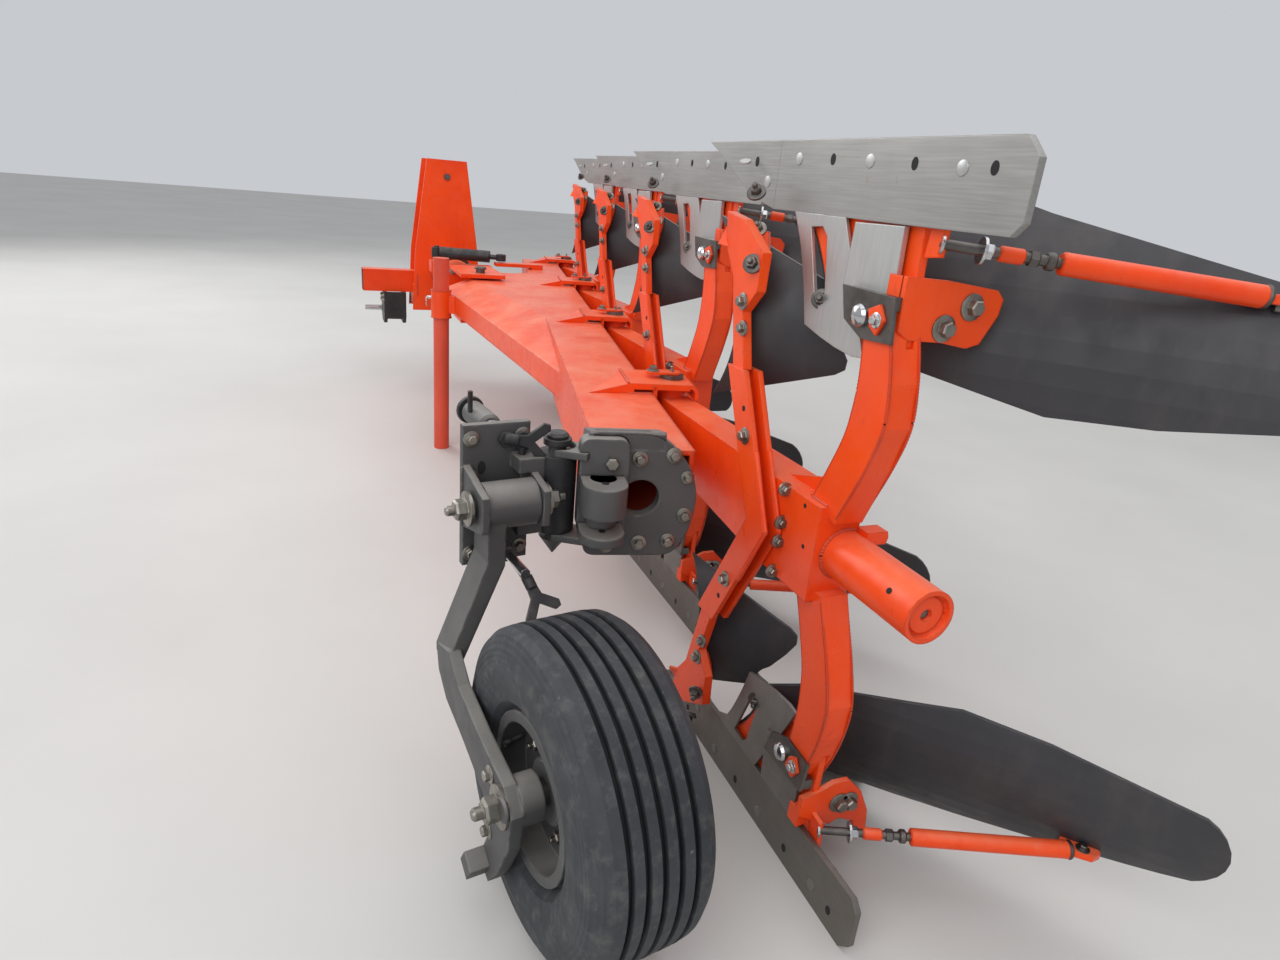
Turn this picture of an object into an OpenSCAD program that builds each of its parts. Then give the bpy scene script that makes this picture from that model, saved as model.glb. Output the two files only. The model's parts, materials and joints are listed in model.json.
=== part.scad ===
/* [Stations] */
// Number of plough stations, each with one lower and one upper body
stations = 4; // [2:1:4]
// Distance between two stations along the beam
pitch = 1150; // [1050:10:1200]
// Furrow width of one body as the plough stands
furrow_w = 220; // [200:5:300]
// Height of the turnover axis over the floor
mid_z = 785; // [760:1:820]

/* [Beam] */
// Width of the box beam
beam_w = 230; // [200:5:240]
// Height of the box beam
beam_h = 200; // [180:5:210]
// Wall of the box beam
beam_wall = 12; // [8:1:16]
// From the beam's right face out to the hinge pins
pin_out = 70; // [66:1:80]
// Beam behind the last hinge pin
beam_tail = 600; // [580:5:640]
// Beam ahead of the first hinge pin
beam_nose = 100; // [96:4:110]
// Distance of the swing pin ahead of the last hinge pin
swing_ahead = 2378; // [2360:2:2390]
// How far the wedge on the beam's left side stands out at its corner
flare_out = 480; // [460:5:490]

/* [Hinge brackets] */
// Diameter of a hinge pin
pin_d = 50; // [40:1:56]
// Radial clearance of a pin in its bore
pin_fit = 0.05; // [0.02:0.01:0.1]
// Length of a bracket along the beam
hood_l = 180; // [160:5:220]
// Thickness of the bracket plates
hood_t = 18; // [14:1:22]
// Clearance between a carrier's eye and the bracket plates
eye_gap = 6; // [5.2:0.2:9]

/* [Carriers] */
// Width of the legs
leg_w = 64; // [56:2:72]
// Width of the leg block and of the arm's rear end
block_w = 100; // [90:2:110]
// Diameter of the hinge eye
eye_d = 100; // [96:2:104]
// Distance of the leg block behind the hinge pin
block_back = 851; // [820:1:880]
// Offset of the leg block to the left of the hinge pin
block_left = 34; // [28:1:40]
// Height of the leg block
block_h = 210; // [190:5:230]
// Length of the leg block
block_l = 200; // [180:5:220]
// Outer diameter of the rear stub tube
stub_d = 106; // [96:2:120]
// Length of the rear stub tube
stub_l = 263; // [230:5:290]
// Offset of the rear stub tube to the left of the hinge pin
stub_left = 12; // [6:1:18]
// Wall of the rear stub tube
stub_wall = 9; // [7:1:12]
// Depth of the disc that closes the rear stub tube
stub_inset = 40; // [20:5:80]

/* [Plough bodies] */
// Thickness of the landside bar
landside_t = 14; // [10:1:18]
// Height of the landside bar
landside_h = 140; // [120:5:160]
// Length of the landside bar
landside_l = 700; // [640:10:740]
// Landside plane, to the left of the hinge pin
land_x = 30; // [26:1:34]
// Seam between landside bar and point, behind the hinge pin
seam_back = 541; // [530:1:560]
// Angle between the share's edge and the direction of travel
share_angle = 42; // [40:1:44]
// Length of the share's edge
share_l = 600; // [540:10:640]
// Width of the share's blade
share_w = 150; // [130:5:160]
// Thickness of the share's blade
share_t = 12; // [8:1:14]
// Rise of the share's blade over the floor
share_rise = 24; // [20:1:28]
// Radius of the mouldboard's curve
board_r = 420; // [400:5:440]
// Slope of the mouldboard where it meets the share
board_start = 39; // [37:1:41]
// Thickness of the mouldboard
board_t = 9; // [7:1:12]
// Length of the mouldboard along the share's direction
board_l = 1310; // [1260:10:1340]
// Height of the mouldboard's top edge over the floor
board_top = 455; // [440:5:470]
// Length of the share's point ahead of the seam
point_l = 430; // [380:10:460]
// Width of the share's point
point_w = 62; // [54:2:70]
// Thickness of the share's point
point_t = 20; // [16:1:24]

/* [Skimmers] */
// Reach of the folded skimmer arm above and below the turnover axis
arm_reach = 310; // [290:5:330]
// How far the arm's ends lean forward of its middle
arm_lean = 169; // [150:1:180]
// Width of the folded arm
arm_w = 78; // [70:2:86]
// Depth of the folded arm's channel
arm_d = 46; // [40:1:52]
// Thickness of the folded arm's plate
arm_t = 12; // [8:1:14]
// Height of the skimmer's edge above the furrow bottom
skim_z = 150; // [130:5:170]
// Radius of the skimmer board's curve
skim_r = 230; // [210:5:250]

/* [Depth wheel] */
// Outer diameter of the tyre
tyre_d = 662; // [640:2:680]
// Width of the tyre
tyre_w = 256; // [244:4:270]
// Diameter of the rim's bead seat
rim_d = 306; // [290:2:320]
// Width of the rim
rim_w = 216; // [200:4:226]
// Depth of a tread groove
groove_d = 16; // [10:1:20]
// Width of a tread groove
groove_w = 13; // [10:1:16]
// Wheel centre to the left of the last hinge pin, before the wheel is turned out
wheel_left = 618; // [610:1:626]
// Wheel centre behind the last hinge pin, before the wheel is turned out
wheel_back = 937; // [920:1:950]
// Angle that the wheel and its arm are turned out on their swivel
wheel_toe = 8.9; // [0:0.1:10]
// Diameter of the wheel's axle
axle_d = 50; // [40:1:56]
// Pivot of the wheel arm behind the last hinge pin
pivot_back = 560; // [550:1:570]
// Swivel of the wheel bracket, to the left of the last hinge pin
swivel_left = 501; // [495:1:510]
// Swivel of the wheel bracket, behind the last hinge pin
swivel_back = 518; // [510:1:530]

/* [Stand leg] */
// Outer diameter of the stand leg
stand_d = 80; // [70:1:90]
// Length of the stand leg
stand_l = 1016; // [980:2:1060]
// Travel of the stand leg in its sleeve
stand_travel = 400; // [300:10:450]

/* [Headstock] */
// Turnover axis to the left of the last hinge pin
axis_left = 130; // [120:1:140]
// Rear face of the headstock's bearing ahead of the last hinge pin
bearing_y = 3260; // [3240:5:3300]
// Length of the headstock's bearing
bearing_l = 380; // [360:5:400]
// Depth of the headstock's tower from its rear to its front face
tower_depth = 280; // [270:5:300]
// Width of the headstock's cross box
head_w = 1090; // [1060:10:1120]
// Height of the headstock's cross box
head_h = 148; // [130:2:150]
// Depth of the headstock's cross box
head_d = 104; // [90:2:106]
// Diameter of the turnover shaft
shaft_d = 140; // [120:2:150]
// Diameter of the turnover tube behind the headstock
turn_tube_d = 210; // [190:5:220]
// Distance between the outer faces of the two lower link brackets
link_span = 825; // [815:5:870]
// Width of a lower link bracket
link_w = 149; // [130:1:160]
// Diameter of a lower link pin
link_pin_d = 36.6; // [28:0.1:37.4]
// Free length of a lower link pin
link_pin_l = 110; // [95:1:120]
// Height of the lower link pins over the floor
link_z = 464; // [450:2:490]
// Height of the top link hole over the floor
top_z = 1420; // [1380:5:1440]
// Diameter of the top link hole
top_d = 32.4; // [25.7:0.1:33]
// Thickness of the tower's plates
tower_t = 20; // [16:1:24]
// Crank radius of the turnover cylinder
crank_r = 150; // [130:5:160]
// Height of the turnover cylinder's top pin over the floor
cyl_top_z = 1385; // [1360:5:1400]
// Outer diameter of the hydraulic cylinders
cyl_d = 84; // [70:2:90]
// Diameter of the piston rods
rod_d = 40; // [32:1:45]

/* [Hidden] */
$fn = 64;
slip = 0.3;
pin_r = pin_d / 2;
step = sqrt(pitch * pitch - furrow_w * furrow_w);
beam_angle = asin(furrow_w / pitch);
beam_x0 = -pin_out - beam_w;
beam_front = (stations - 1) * pitch + beam_nose;
half_h = beam_h / 2;
hood_z = half_h + hood_t + 12;
stand_x = -778;
stand_y = 1991;
arc_steps = 8;
bearing_end = bearing_y + bearing_l;
rear_y = bearing_end - 40;
head_y = rear_y + tower_depth;
box_z = mid_z - 39 - head_h;
frame_ref = [256.75, 1236.86];

// The whole plough is placed from the foot of its last hinge pin
module placed() {
    translate([-frame_ref[0], -frame_ref[1], 0]) children();
}

// Turned to the beam's direction: X to its right, Y forward along it
module along_beam() {
    placed() rotate([0, 0, -beam_angle]) children();
}

// Station 1 is the front one, and the last one stands at the origin
module at_station(k) {
    placed() translate([(stations - k) * furrow_w, (stations - k) * step, 0]) children();
}

// What the lower row has, the upper row has mirrored in the turnover axis
module both_rows() {
    children();
    translate([0, 0, 2 * mid_z]) mirror([0, 0, 1]) children();
}

// The wheel, its arm and its bracket, turned out together on their swivel
module wheel_side() {
    placed() translate([-swivel_left, -swivel_back, 0]) rotate([0, 0, wheel_toe])
        translate([swivel_left, swivel_back, 0]) children();
}

// A profile drawn in the plane of Y and Z, x0 to x0 + w wide
module side_plate(points, x0, w) {
    translate([x0, 0, 0]) rotate([90, 0, 90]) linear_extrude(w) polygon(points);
}

// Points on an arc round c, from angle a0 to a1
function arc(c, r, a0, a1, n = arc_steps) =
    [for (i = [0:n]) let (a = a0 + (a1 - a0) * i / n) [c[0] + r * cos(a), c[1] + r * sin(a)]];

// The wedge's left face, as a function of the place along the beam
function flare_x(y) = beam_x0 + 2 - (flare_out + 2) * (y - 350) / 1900;

module flare() {
    outer = [[beam_x0 + 2, 350], [beam_x0 - flare_out, 2250], [beam_x0 - 170, 2600], [beam_x0 + 2, 2750]];
    crest = [[beam_x0 + 2, 1150], [beam_x0 - 134, 1782], [beam_x0 - 340, 2280],
        [beam_x0 - 170, 2590], [beam_x0 + 2, 2740]];
    hull() {
        translate([0, 0, mid_z - 45]) linear_extrude(90) polygon(outer);
        translate([0, 0, mid_z - half_h]) linear_extrude(beam_h) polygon(crest);
    }
}

module main_beam() {
    inner_w = beam_w - 2 * beam_wall;
    inner_h = beam_h - 2 * beam_wall;
    color("orangered") difference() {
        along_beam() union() {
            translate([beam_x0, -beam_tail, mid_z - half_h]) cube([beam_w, beam_front + beam_tail, beam_h]);
            flare();
        }
        along_beam() translate([beam_x0 + beam_wall, -beam_tail - 1, mid_z - inner_h / 2])
            cube([inner_w, beam_front + beam_tail - beam_wall, inner_h]);
        placed() translate([-axis_left, swing_ahead, 0]) cylinder(h = 2 * mid_z, r = pin_r + pin_fit);
    }
}

// A wedge on the beam beside a hinge bracket, its tip to the left
module gusset() {
    tip = -beam_w + 38;
    near = -75;
    intersection() {
        linear_extrude(hood_z) polygon([[near, -hood_l / 2], [near, hood_l / 2], [tip, -hood_l / 2 - 10]]);
        rotate([90, 0, 0]) translate([0, 0, -hood_l])
            linear_extrude(2 * hood_l) polygon([[near, half_h], [near, hood_z - 2], [tip - 2, half_h]]);
    }
}

// The hood over a carrier's eye: a plate bent down at its right edge
module hood() {
    x0 = -pin_out - 75;
    x1 = eye_d / 2 + 18;
    bend = 28;
    lip_z = 86;
    c = [x1 - bend, hood_z - bend];
    outer = concat([[x0, hood_z]], arc(c, bend, 90, 0), [[x1, lip_z], [x1 - 12, lip_z]]);
    inner = concat(arc(c, bend - 12, 0, 90), [[c[0], hood_z - hood_t], [x0, hood_z - hood_t]]);
    rotate([90, 0, 0]) linear_extrude(hood_l, center = true) polygon(concat(outer, inner));
}

module hinge_bracket() {
    plate_x0 = -pin_out - 75;
    web_t = 20;
    difference() {
        union() {
            for (side = [0, 1]) mirror([0, 0, side]) {
                hood();
                translate([plate_x0, -hood_l / 2, half_h])
                    cube([pin_out + plate_x0 + 73 + web_t, hood_l, 13]);
                translate([-pin_out, 0, 0]) gusset();
            }
            translate([-pin_out, -hood_l / 2, -hood_z + 1]) cube([web_t - 8, hood_l, 2 * hood_z - 2]);
        }
        translate([0, 0, -mid_z]) cylinder(h = 2 * mid_z, r = pin_r + pin_fit);
    }
}

module hinge_brackets() {
    color("orangered") along_beam() for (k = [0:stations - 1])
        translate([0, k * pitch, mid_z]) hinge_bracket();
}

module hinge_pins() {
    head_h = 12;
    color("dimgray") along_beam() for (k = [0:stations - 1]) translate([0, k * pitch, mid_z]) {
        translate([0, 0, -hood_z - head_h]) cylinder(h = 2 * hood_z + 2 * head_h, r = pin_r);
        for (side = [0, 1]) mirror([0, 0, side]) translate([0, 0, hood_z + slip])
            cylinder(h = head_h, r = pin_r + 12);
    }
}

module end_plate() {
    plate_t = 34;
    w = 262;
    h = 270;
    x0 = beam_x0 - 22;
    y0 = -beam_tail - plate_t - slip;
    lug_h = 16;
    cap = [[1, h / 2 - 22], [104, half_h + 14], [112, half_h + 22], [104, half_h + 28], [1, h / 2 + 12]];
    color([0.32, 0.32, 0.31]) difference() {
        union() {
            along_beam() {
                translate([x0, y0, mid_z - h / 2]) cube([w, plate_t, h]);
                translate([x0, y0, mid_z]) rotate([90, 0, 90]) linear_extrude(w - 30) polygon(cap);
                for (z = [mid_z + 54, mid_z - 54 - 78]) hull() {
                    translate([x0 - 25, y0 - 40, z]) cylinder(h = 78, r = 36, $fn = 32);
                    translate([x0 + 44, y0 + plate_t / 2, z]) cylinder(h = 78, r = plate_t / 2, $fn = 32);
                }
            }
            for (z = [mid_z + 94, mid_z - 94 - lug_h]) hull() {
                placed() translate([-swivel_left, -swivel_back, z]) cylinder(h = lug_h, r = 42, $fn = 32);
                along_beam() translate([x0 - 25, y0 - 40, z]) cylinder(h = lug_h, r = 34, $fn = 32);
            }
        }
        along_beam() translate([x0 + 146, y0 - 60, mid_z]) rotate([-90, 0, 0]) cylinder(h = 120, r = 45);
        placed() translate([-swivel_left, -swivel_back, 0]) cylinder(h = 2 * mid_z, r = 20 + pin_fit);
        placed() translate([-swivel_left, -swivel_back, mid_z - 94]) cylinder(h = 188, r = 52);
    }
}

module wheel_spool() {
    color([0.13, 0.13, 0.13]) placed() translate([-swivel_left, -swivel_back, mid_z]) {
        cylinder(h = 240, r = 20, center = true);
        difference() {
            cylinder(h = 2 * 92, r = 46, center = true);
            cylinder(h = 300, r = 20 + pin_fit, center = true);
        }
        translate([0, 0, -158]) cylinder(h = 46, r1 = 2, r2 = 34);
        translate([0, 0, 112 + slip]) cylinder(h = 14, r = 32);
    }
}

arm_x = -wheel_left - tyre_w / 2 - 8;
wheel_z = tyre_d / 2;
hub_z = wheel_z - mid_z;
fork_x = -710;
fork_w = 154;
fork_t = 16;
arm_t0 = 40;
arm_t1 = 27;

module wheel_bracket() {
    color([0.32, 0.32, 0.31]) wheel_side() translate([0, 0, mid_z]) difference() {
        union() {
            translate([fork_x, -swivel_back + 28, -170]) cube([fork_w, 20, 330]);
            for (side = [0, 1]) mirror([0, 0, side]) translate([-600, -swivel_back - 24, 58])
                cube([60, 60, 32]);
            translate([-558, -swivel_back - 24, -90]) cube([18, 60, 180]);
            for (x = [fork_x, fork_x + fork_w - fork_t]) side_plate([[-pivot_back - 56, -40],
                [-pivot_back - 56, 40], [-swivel_back + 30, 72], [-swivel_back + 30, -72]], x, fork_t);
        }
        translate([-900, -pivot_back, 0]) rotate([0, 90, 0]) cylinder(h = 400, r = 22 + pin_fit);
        translate([-swivel_left, -swivel_back, -200]) cylinder(h = 400, r = 46 + slip);
    }
}

// The arm splays out to the left, then runs back to the hub
module wheel_arm() {
    boss_x = fork_x + fork_t + 2;
    boss_w = fork_w - 2 * fork_t - 4;
    hub_y = -wheel_back;
    lower = [[-528, -330], [-545, -392], [-600, -436], [-720, -464], [hub_y + 60, hub_z - 60],
        [hub_y + 70, hub_z - 140], [hub_y + 110, hub_z - 225], [hub_y + 58, hub_z - 246],
        [hub_y + 10, hub_z - 180], [hub_y - 40, hub_z - 76], [hub_y - 52, hub_z + 10],
        [hub_y - 10, hub_z + 52], [-809, -382], [-680, -352], [-618, -305]];
    color([0.32, 0.32, 0.31]) wheel_side() translate([0, 0, mid_z]) difference() {
        union() {
            translate([boss_x, -pivot_back, 0]) rotate([0, 90, 0]) cylinder(h = boss_w, r = 52);
            translate([boss_x, -pivot_back - 44, -126]) cube([arm_t0, 88, 100]);
            hull() {
                translate([boss_x, -pivot_back - 44, -126]) cube([arm_t0, 88, 10]);
                translate([arm_x - arm_t1, -pivot_back - 56, -350]) cube([arm_t1, 88, 20]);
            }
            side_plate(lower, arm_x - arm_t1, arm_t1);
            translate([arm_x - 1, hub_y, hub_z]) rotate([0, 90, 0]) cylinder(h = 46, r = 50);
        }
        translate([-900, -pivot_back, 0]) rotate([0, 90, 0]) cylinder(h = 400, r = 22 + pin_fit);
    }
}

module wheel_axle() {
    color("dimgray") wheel_side() {
        translate([arm_x + 45 + slip, -wheel_back, wheel_z]) rotate([0, 90, 0])
            cylinder(h = tyre_w / 2 + 24, r = axle_d / 2);
        translate([fork_x - 10, -pivot_back, mid_z]) rotate([0, 90, 0]) cylinder(h = fork_w + 20, r = 22);
    }
}

module wheel_rim() {
    bore = axle_d / 2 + pin_fit;
    seat = rim_d / 2;
    half = rim_w / 2;
    color([0.36, 0.36, 0.35]) wheel_side() translate([-wheel_left, -wheel_back, wheel_z]) rotate([0, 90, 0])
        rotate_extrude() union() {
            polygon([[seat - 8, -half], [seat + 14, -half], [seat + 14, -half + 8], [seat, -half + 14],
                [seat, half - 14], [seat + 14, half - 8], [seat + 14, half], [seat - 8, half]]);
            polygon([[70, -30], [seat - 4, -52], [seat - 4, -42], [70, -20]]);
            polygon([[bore, -72], [62, -72], [62, -34], [76, -34], [76, -16], [62, -16], [62, 40],
                [bore, 40]]);
        }
}

module wheel_tyre() {
    r = tyre_d / 2;
    half = tyre_w / 2;
    seat = rim_d / 2 + slip;
    bead = rim_w / 2 - 14 - slip;
    grooves = 5;
    rib = (tyre_w - 60) / (grooves + 1);
    color([0.2, 0.22, 0.24]) wheel_side() translate([-wheel_left, -wheel_back, wheel_z]) rotate([0, 90, 0])
        rotate_extrude() difference() {
            polygon([[seat, -bead], [seat + 16, -bead], [seat + 34, -half + 12],
                [seat + 70, -half + 3], [r - 80, -half],
                [r - 40, -half + 5], [r - 14, -half + 18], [r - 3, -half + 34], [r, -half + 60],
                [r, half - 60], [r - 3, half - 34], [r - 14, half - 18], [r - 40, half - 5],
                [r - 80, half], [seat + 70, half - 3], [seat + 34, half - 12],
                [seat + 16, bead], [seat, bead]]);
            for (i = [1:grooves]) translate([r - groove_d, -half + 30 + i * rib - groove_w / 2])
                square([groove_d + 10, groove_w]);
        }
}

module depth_spindles() {
    x = fork_x + 95;
    color("gainsboro") wheel_side() translate([0, 0, mid_z]) {
        translate([x, -swivel_back + 48 + slip, 125]) rotate([-90, 0, 0]) cylinder(h = 250, r = 11);
        translate([x, -swivel_back + 28 - slip, -140]) rotate([90, 0, 0]) cylinder(h = 140, r = 11);
    }
}

module stand_sleeve() {
    r0 = stand_d / 2 + 1;
    y0 = stand_y - 32;
    y1 = stand_y + 32;
    color("orangered") along_beam() difference() {
        union() {
            translate([stand_x, stand_y, mid_z - 70]) cylinder(h = 140, r = r0 + 10);
            translate([0, 0, mid_z - 44]) linear_extrude(88) polygon([[stand_x + 20, y0],
                [flare_x(y0) - slip, y0], [flare_x(y1) - slip, y1], [stand_x + 20, y1]]);
        }
        translate([stand_x, stand_y, 0]) cylinder(h = 2 * mid_z, r = r0);
    }
}

module stand_leg() {
    foot_t = 12;
    color([0.82, 0.3, 0.22]) along_beam() translate([stand_x, stand_y, 0]) difference() {
        cylinder(h = stand_l, r = stand_d / 2);
        translate([0, 0, foot_t]) cylinder(h = stand_l, r = stand_d / 2 - 6);
    }
}

bearing_r = 115;
swing_r = [-axis_left, swing_ahead];
tube_y0 = 2760;

module swing_frame() {
    plate_z = half_h + 12;
    tube_l = bearing_y - 20 - tube_y0;
    color("orangered") placed() difference() {
        union() {
            for (side = [0, 1]) translate([0, 0, mid_z]) mirror([0, 0, side])
                translate([swing_r[0] - 120, swing_r[1] - 90, plate_z])
                    cube([240, tube_y0 + 60 - swing_ahead, 20]);
            translate([swing_r[0] - 130, tube_y0 - 40, mid_z - plate_z - 20])
                cube([260, 40, 2 * plate_z + 40]);
            translate([swing_r[0], tube_y0 - 1, mid_z]) rotate([-90, 0, 0])
                cylinder(h = tube_l + 1, r = turn_tube_d / 2);
            translate([swing_r[0] - 178, 3040, mid_z + 40]) cube([110, 110, 70]);
        }
        translate([swing_r[0], swing_r[1], 0]) cylinder(h = 2 * mid_z, r = pin_r + pin_fit);
        translate([width_a[0], width_a[1], mid_z]) cylinder(h = 200, r = 15 + pin_fit);
    }
}

module swing_pin() {
    color("dimgray") placed() translate([swing_r[0], swing_r[1], mid_z - half_h - 52])
        cylinder(h = 2 * half_h + 104, r = pin_r);
}

module turnover_shaft() {
    color("dimgray") placed() translate([-axis_left, 0, mid_z]) {
        translate([0, bearing_y - 20 + slip, 0]) rotate([-90, 0, 0]) cylinder(h = 14, r = 125);
        translate([0, bearing_y - 6, 0]) rotate([-90, 0, 0])
            cylinder(h = crank_y - bearing_y + 12, r = shaft_d / 2);
    }
}

crank_y = bearing_end + 36;
cyl_y = crank_y + 44;

module turnover_crank() {
    color("orangered") placed() translate([-axis_left, crank_y, mid_z]) rotate([90, 0, 0]) difference() {
        union() {
            cylinder(h = 30, r = 104);
            linear_extrude(30) polygon([[0, 100], [crank_r + 6, 42], [crank_r + 6, -42], [0, -100]]);
            translate([crank_r, 0, 0]) cylinder(h = 30, r = 42);
        }
        translate([0, 0, -1]) cylinder(h = 32, r = shaft_d / 2 + pin_fit);
        translate([crank_r, 0, -1]) cylinder(h = 32, r = 20 + pin_fit);
    }
}

// The bearing, the cross box and the webs between the tower's plates
module headstock_frame() {
    x = -axis_left;
    color("orangered") placed() difference() {
        union() {
            translate([x, bearing_y, mid_z]) rotate([-90, 0, 0]) cylinder(h = bearing_l, r = bearing_r);
            translate([x - head_w / 2, head_y - tower_t - head_d, box_z]) cube([head_w, head_d, head_h]);
            for (side = [0, 1]) translate([x, 0, 0]) mirror([side, 0, 0])
                translate([200, rear_y + tower_t, box_z - 80])
                    cube([tower_t, tower_depth - 2 * tower_t, head_h]);
        }
        translate([x, bearing_y - 50, mid_z]) rotate([-90, 0, 0])
            cylinder(h = bearing_l + 100, r = shaft_d / 2 + pin_fit);
    }
}

module tower_plates() {
    x = -axis_left;
    tower = [[-230, 500], [230, 500], [210, 900], [130, 1490], [-130, 1490], [-210, 900]];
    ear = [[head_y - 1, top_z - 220], [head_y - 1, top_z + 68], [head_y + 70, top_z + 50],
        [head_y + 90, top_z], [head_y + 80, top_z - 190], [head_y + 60, top_z - 220]];
    color("orangered") placed() difference() {
        union() {
            for (y = [rear_y, head_y - tower_t]) translate([x, y + tower_t, 0])
                rotate([90, 0, 0]) linear_extrude(tower_t) polygon(tower);
            for (side = [-1, 1]) side_plate(ear, x + side * 37 - 11, 22);
        }
        translate([x, rear_y - 50, mid_z]) rotate([-90, 0, 0]) cylinder(h = 100, r = bearing_r + slip);
        for (z = [top_z, top_z - 150]) translate([x - 200, head_y + 48, z]) rotate([0, 90, 0])
            cylinder(h = 400, r = top_d / 2);
        translate([x, bearing_y, cyl_top_z]) rotate([-90, 0, 0]) cylinder(h = 900, r = 20 + pin_fit);
        translate([x - 110, head_y - 60, 700]) cube([220, 100, 330]);
    }
}

link_y = head_y + 10;
link_bore = 24;

// A bracket of two cheeks and a web, open to the front
module link_plates() {
    y0 = head_y - tower_t - 140;
    foot = link_z - 85;
    cheek = [[y0, box_z], [y0, foot + 50], [y0 + 40, foot], [link_y + 20, foot], [link_y + 48, foot + 40],
        [link_y + 48, link_z + 50], [head_y - tower_t - 4, box_z]];
    color([0.2, 0.2, 0.22]) placed() difference() {
        for (side = [0, 1]) translate([-axis_left, 0, 0]) mirror([side, 0, 0]) difference() {
            side_plate(cheek, link_span / 2 - link_w, link_w);
            translate([link_span / 2 - link_w + 22, y0 + 16, 0]) cube([link_w - 44, 400, mid_z]);
        }
        translate([-axis_left - link_span, link_y, link_z]) rotate([0, 90, 0])
            cylinder(h = 2 * link_span, r = link_bore + pin_fit);
    }
}

module link_pins() {
    color("silver") placed() for (side = [0, 1]) translate([-axis_left, link_y, link_z])
        mirror([side, 0, 0]) rotate([0, 90, 0]) {
            translate([0, 0, link_span / 2 - link_w - 12]) cylinder(h = link_w + 20, r = link_bore);
            translate([0, 0, link_span / 2 + 7]) cylinder(h = link_pin_l + 1, r = link_pin_d / 2);
        }
}

cyl_l = sqrt(crank_r * crank_r + pow(cyl_top_z - mid_z, 2));
cyl_lean = atan(crank_r / (cyl_top_z - mid_z));

// The turnover cylinder's own frame: origin on its top pin, Z up along it
module on_cylinder() {
    placed() translate([-axis_left, cyl_y, cyl_top_z]) rotate([0, -cyl_lean, 0]) children();
}

module turnover_barrel() {
    color("orangered") on_cylinder() difference() {
        union() {
            rotate([90, 0, 0]) cylinder(h = 60, r = 36, center = true);
            translate([0, 0, -400]) cylinder(h = 372, r = cyl_d / 2);
        }
        rotate([90, 0, 0]) cylinder(h = 80, r = 20 + pin_fit, center = true);
        translate([0, 0, -401]) cylinder(h = 340, r = rod_d / 2 + 0.1);
    }
}

module turnover_rod() {
    color("silver") on_cylinder() difference() {
        union() {
            translate([0, 0, -cyl_l]) rotate([90, 0, 0]) cylinder(h = 50, r = 36, center = true);
            translate([0, 0, -cyl_l + 20]) cylinder(h = cyl_l - 260, r = rod_d / 2);
        }
        translate([0, 0, -cyl_l]) rotate([90, 0, 0]) cylinder(h = 80, r = 20 + pin_fit, center = true);
    }
}

module turnover_pins() {
    color("dimgray") placed() translate([-axis_left, head_y + 8, cyl_top_z]) rotate([90, 0, 0])
        cylinder(h = tower_depth + 20, r = 20);
}

width_a = [-268, 3098];
width_b = [106, 2950];
width_z = mid_z + 160;
width_l = sqrt(pow(width_b[0] - width_a[0], 2) + pow(width_b[1] - width_a[1], 2));
width_turn = atan2(width_b[1] - width_a[1], width_b[0] - width_a[0]);

// The width cylinder's own frame: origin on its fixed pin, X along it
module on_width() {
    placed() translate([width_a[0], width_a[1], width_z]) rotate([0, 0, width_turn]) children();
}

module width_barrel() {
    color([0.13, 0.13, 0.13]) on_width() difference() {
        union() {
            cylinder(h = 60, r = 32, center = true);
            translate([24, 0, 0]) rotate([0, 90, 0]) cylinder(h = 306, r = 36);
        }
        cylinder(h = 80, r = 15 + pin_fit, center = true);
        translate([60, 0, 0]) rotate([0, 90, 0]) cylinder(h = 306, r = 15.1);
    }
}

module width_rod() {
    color([0.13, 0.13, 0.13]) on_width() difference() {
        union() {
            translate([width_l, 0, 0]) cylinder(h = 40, r = 30, center = true);
            translate([70, 0, 0]) rotate([0, 90, 0]) cylinder(h = width_l - 80, r = 15);
        }
        translate([width_l, 0, 0]) cylinder(h = 80, r = 15 + pin_fit, center = true);
    }
}

module width_pin() {
    color("dimgray") placed() translate([width_a[0], width_a[1], mid_z + 75]) cylinder(h = 125, r = 15);
}

module width_lug() {
    color("orangered") placed() difference() {
        union() {
            translate([width_b[0] - 36, width_b[1] - 40, mid_z + half_h + 10]) cube([296, 80, 20]);
            translate([width_b[0] + 190, width_b[1] - 40, mid_z + half_h]) cube([70, 80, 12]);
        }
        translate([width_b[0], width_b[1], mid_z]) cylinder(h = 200, r = 15 + pin_fit);
    }
}

// Side view of the upper leg from the block to its end: back from the block's middle, up from the axis
leg_shape = [[33, 90], [74, 180], [107, 265], [117, 350], [111, 430], [99, 500],
    [159, 510], [183, 455], [203, 380], [209, 300], [181, 210], [127, 80]];

module carrier(k) {
    eye_h = 2 * (hood_z - hood_t - eye_gap);
    block_x0 = -block_left - block_w / 2;
    leg = [for (p = leg_shape) [-block_back - p[0], p[1]]];
    at_station(k) difference() {
        union() {
            translate([0, 0, mid_z - eye_h / 2]) cylinder(h = eye_h, r = eye_d / 2);
            hull() {
                translate([-45, -90, mid_z - 80]) cube([90, 60, 160]);
                translate([block_x0, -block_back + block_l / 2 - 60, mid_z - block_h / 2])
                    cube([block_w, 60, block_h]);
            }
            translate([block_x0, -block_back - block_l / 2, mid_z - block_h / 2])
                cube([block_w, block_l, block_h]);
            for (side = [0, 1]) translate([0, 0, mid_z]) mirror([0, 0, side])
                side_plate(leg, -block_left - leg_w / 2, leg_w);
        }
        cylinder(h = 2 * mid_z, r = pin_r + pin_fit);
        for (side = [0, 1]) translate([0, 0, mid_z]) mirror([0, 0, side])
            translate([-land_x - slip, -1100, 440]) cube([frog_t + 2 * slip, 260, 200]);
    }
}

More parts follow.
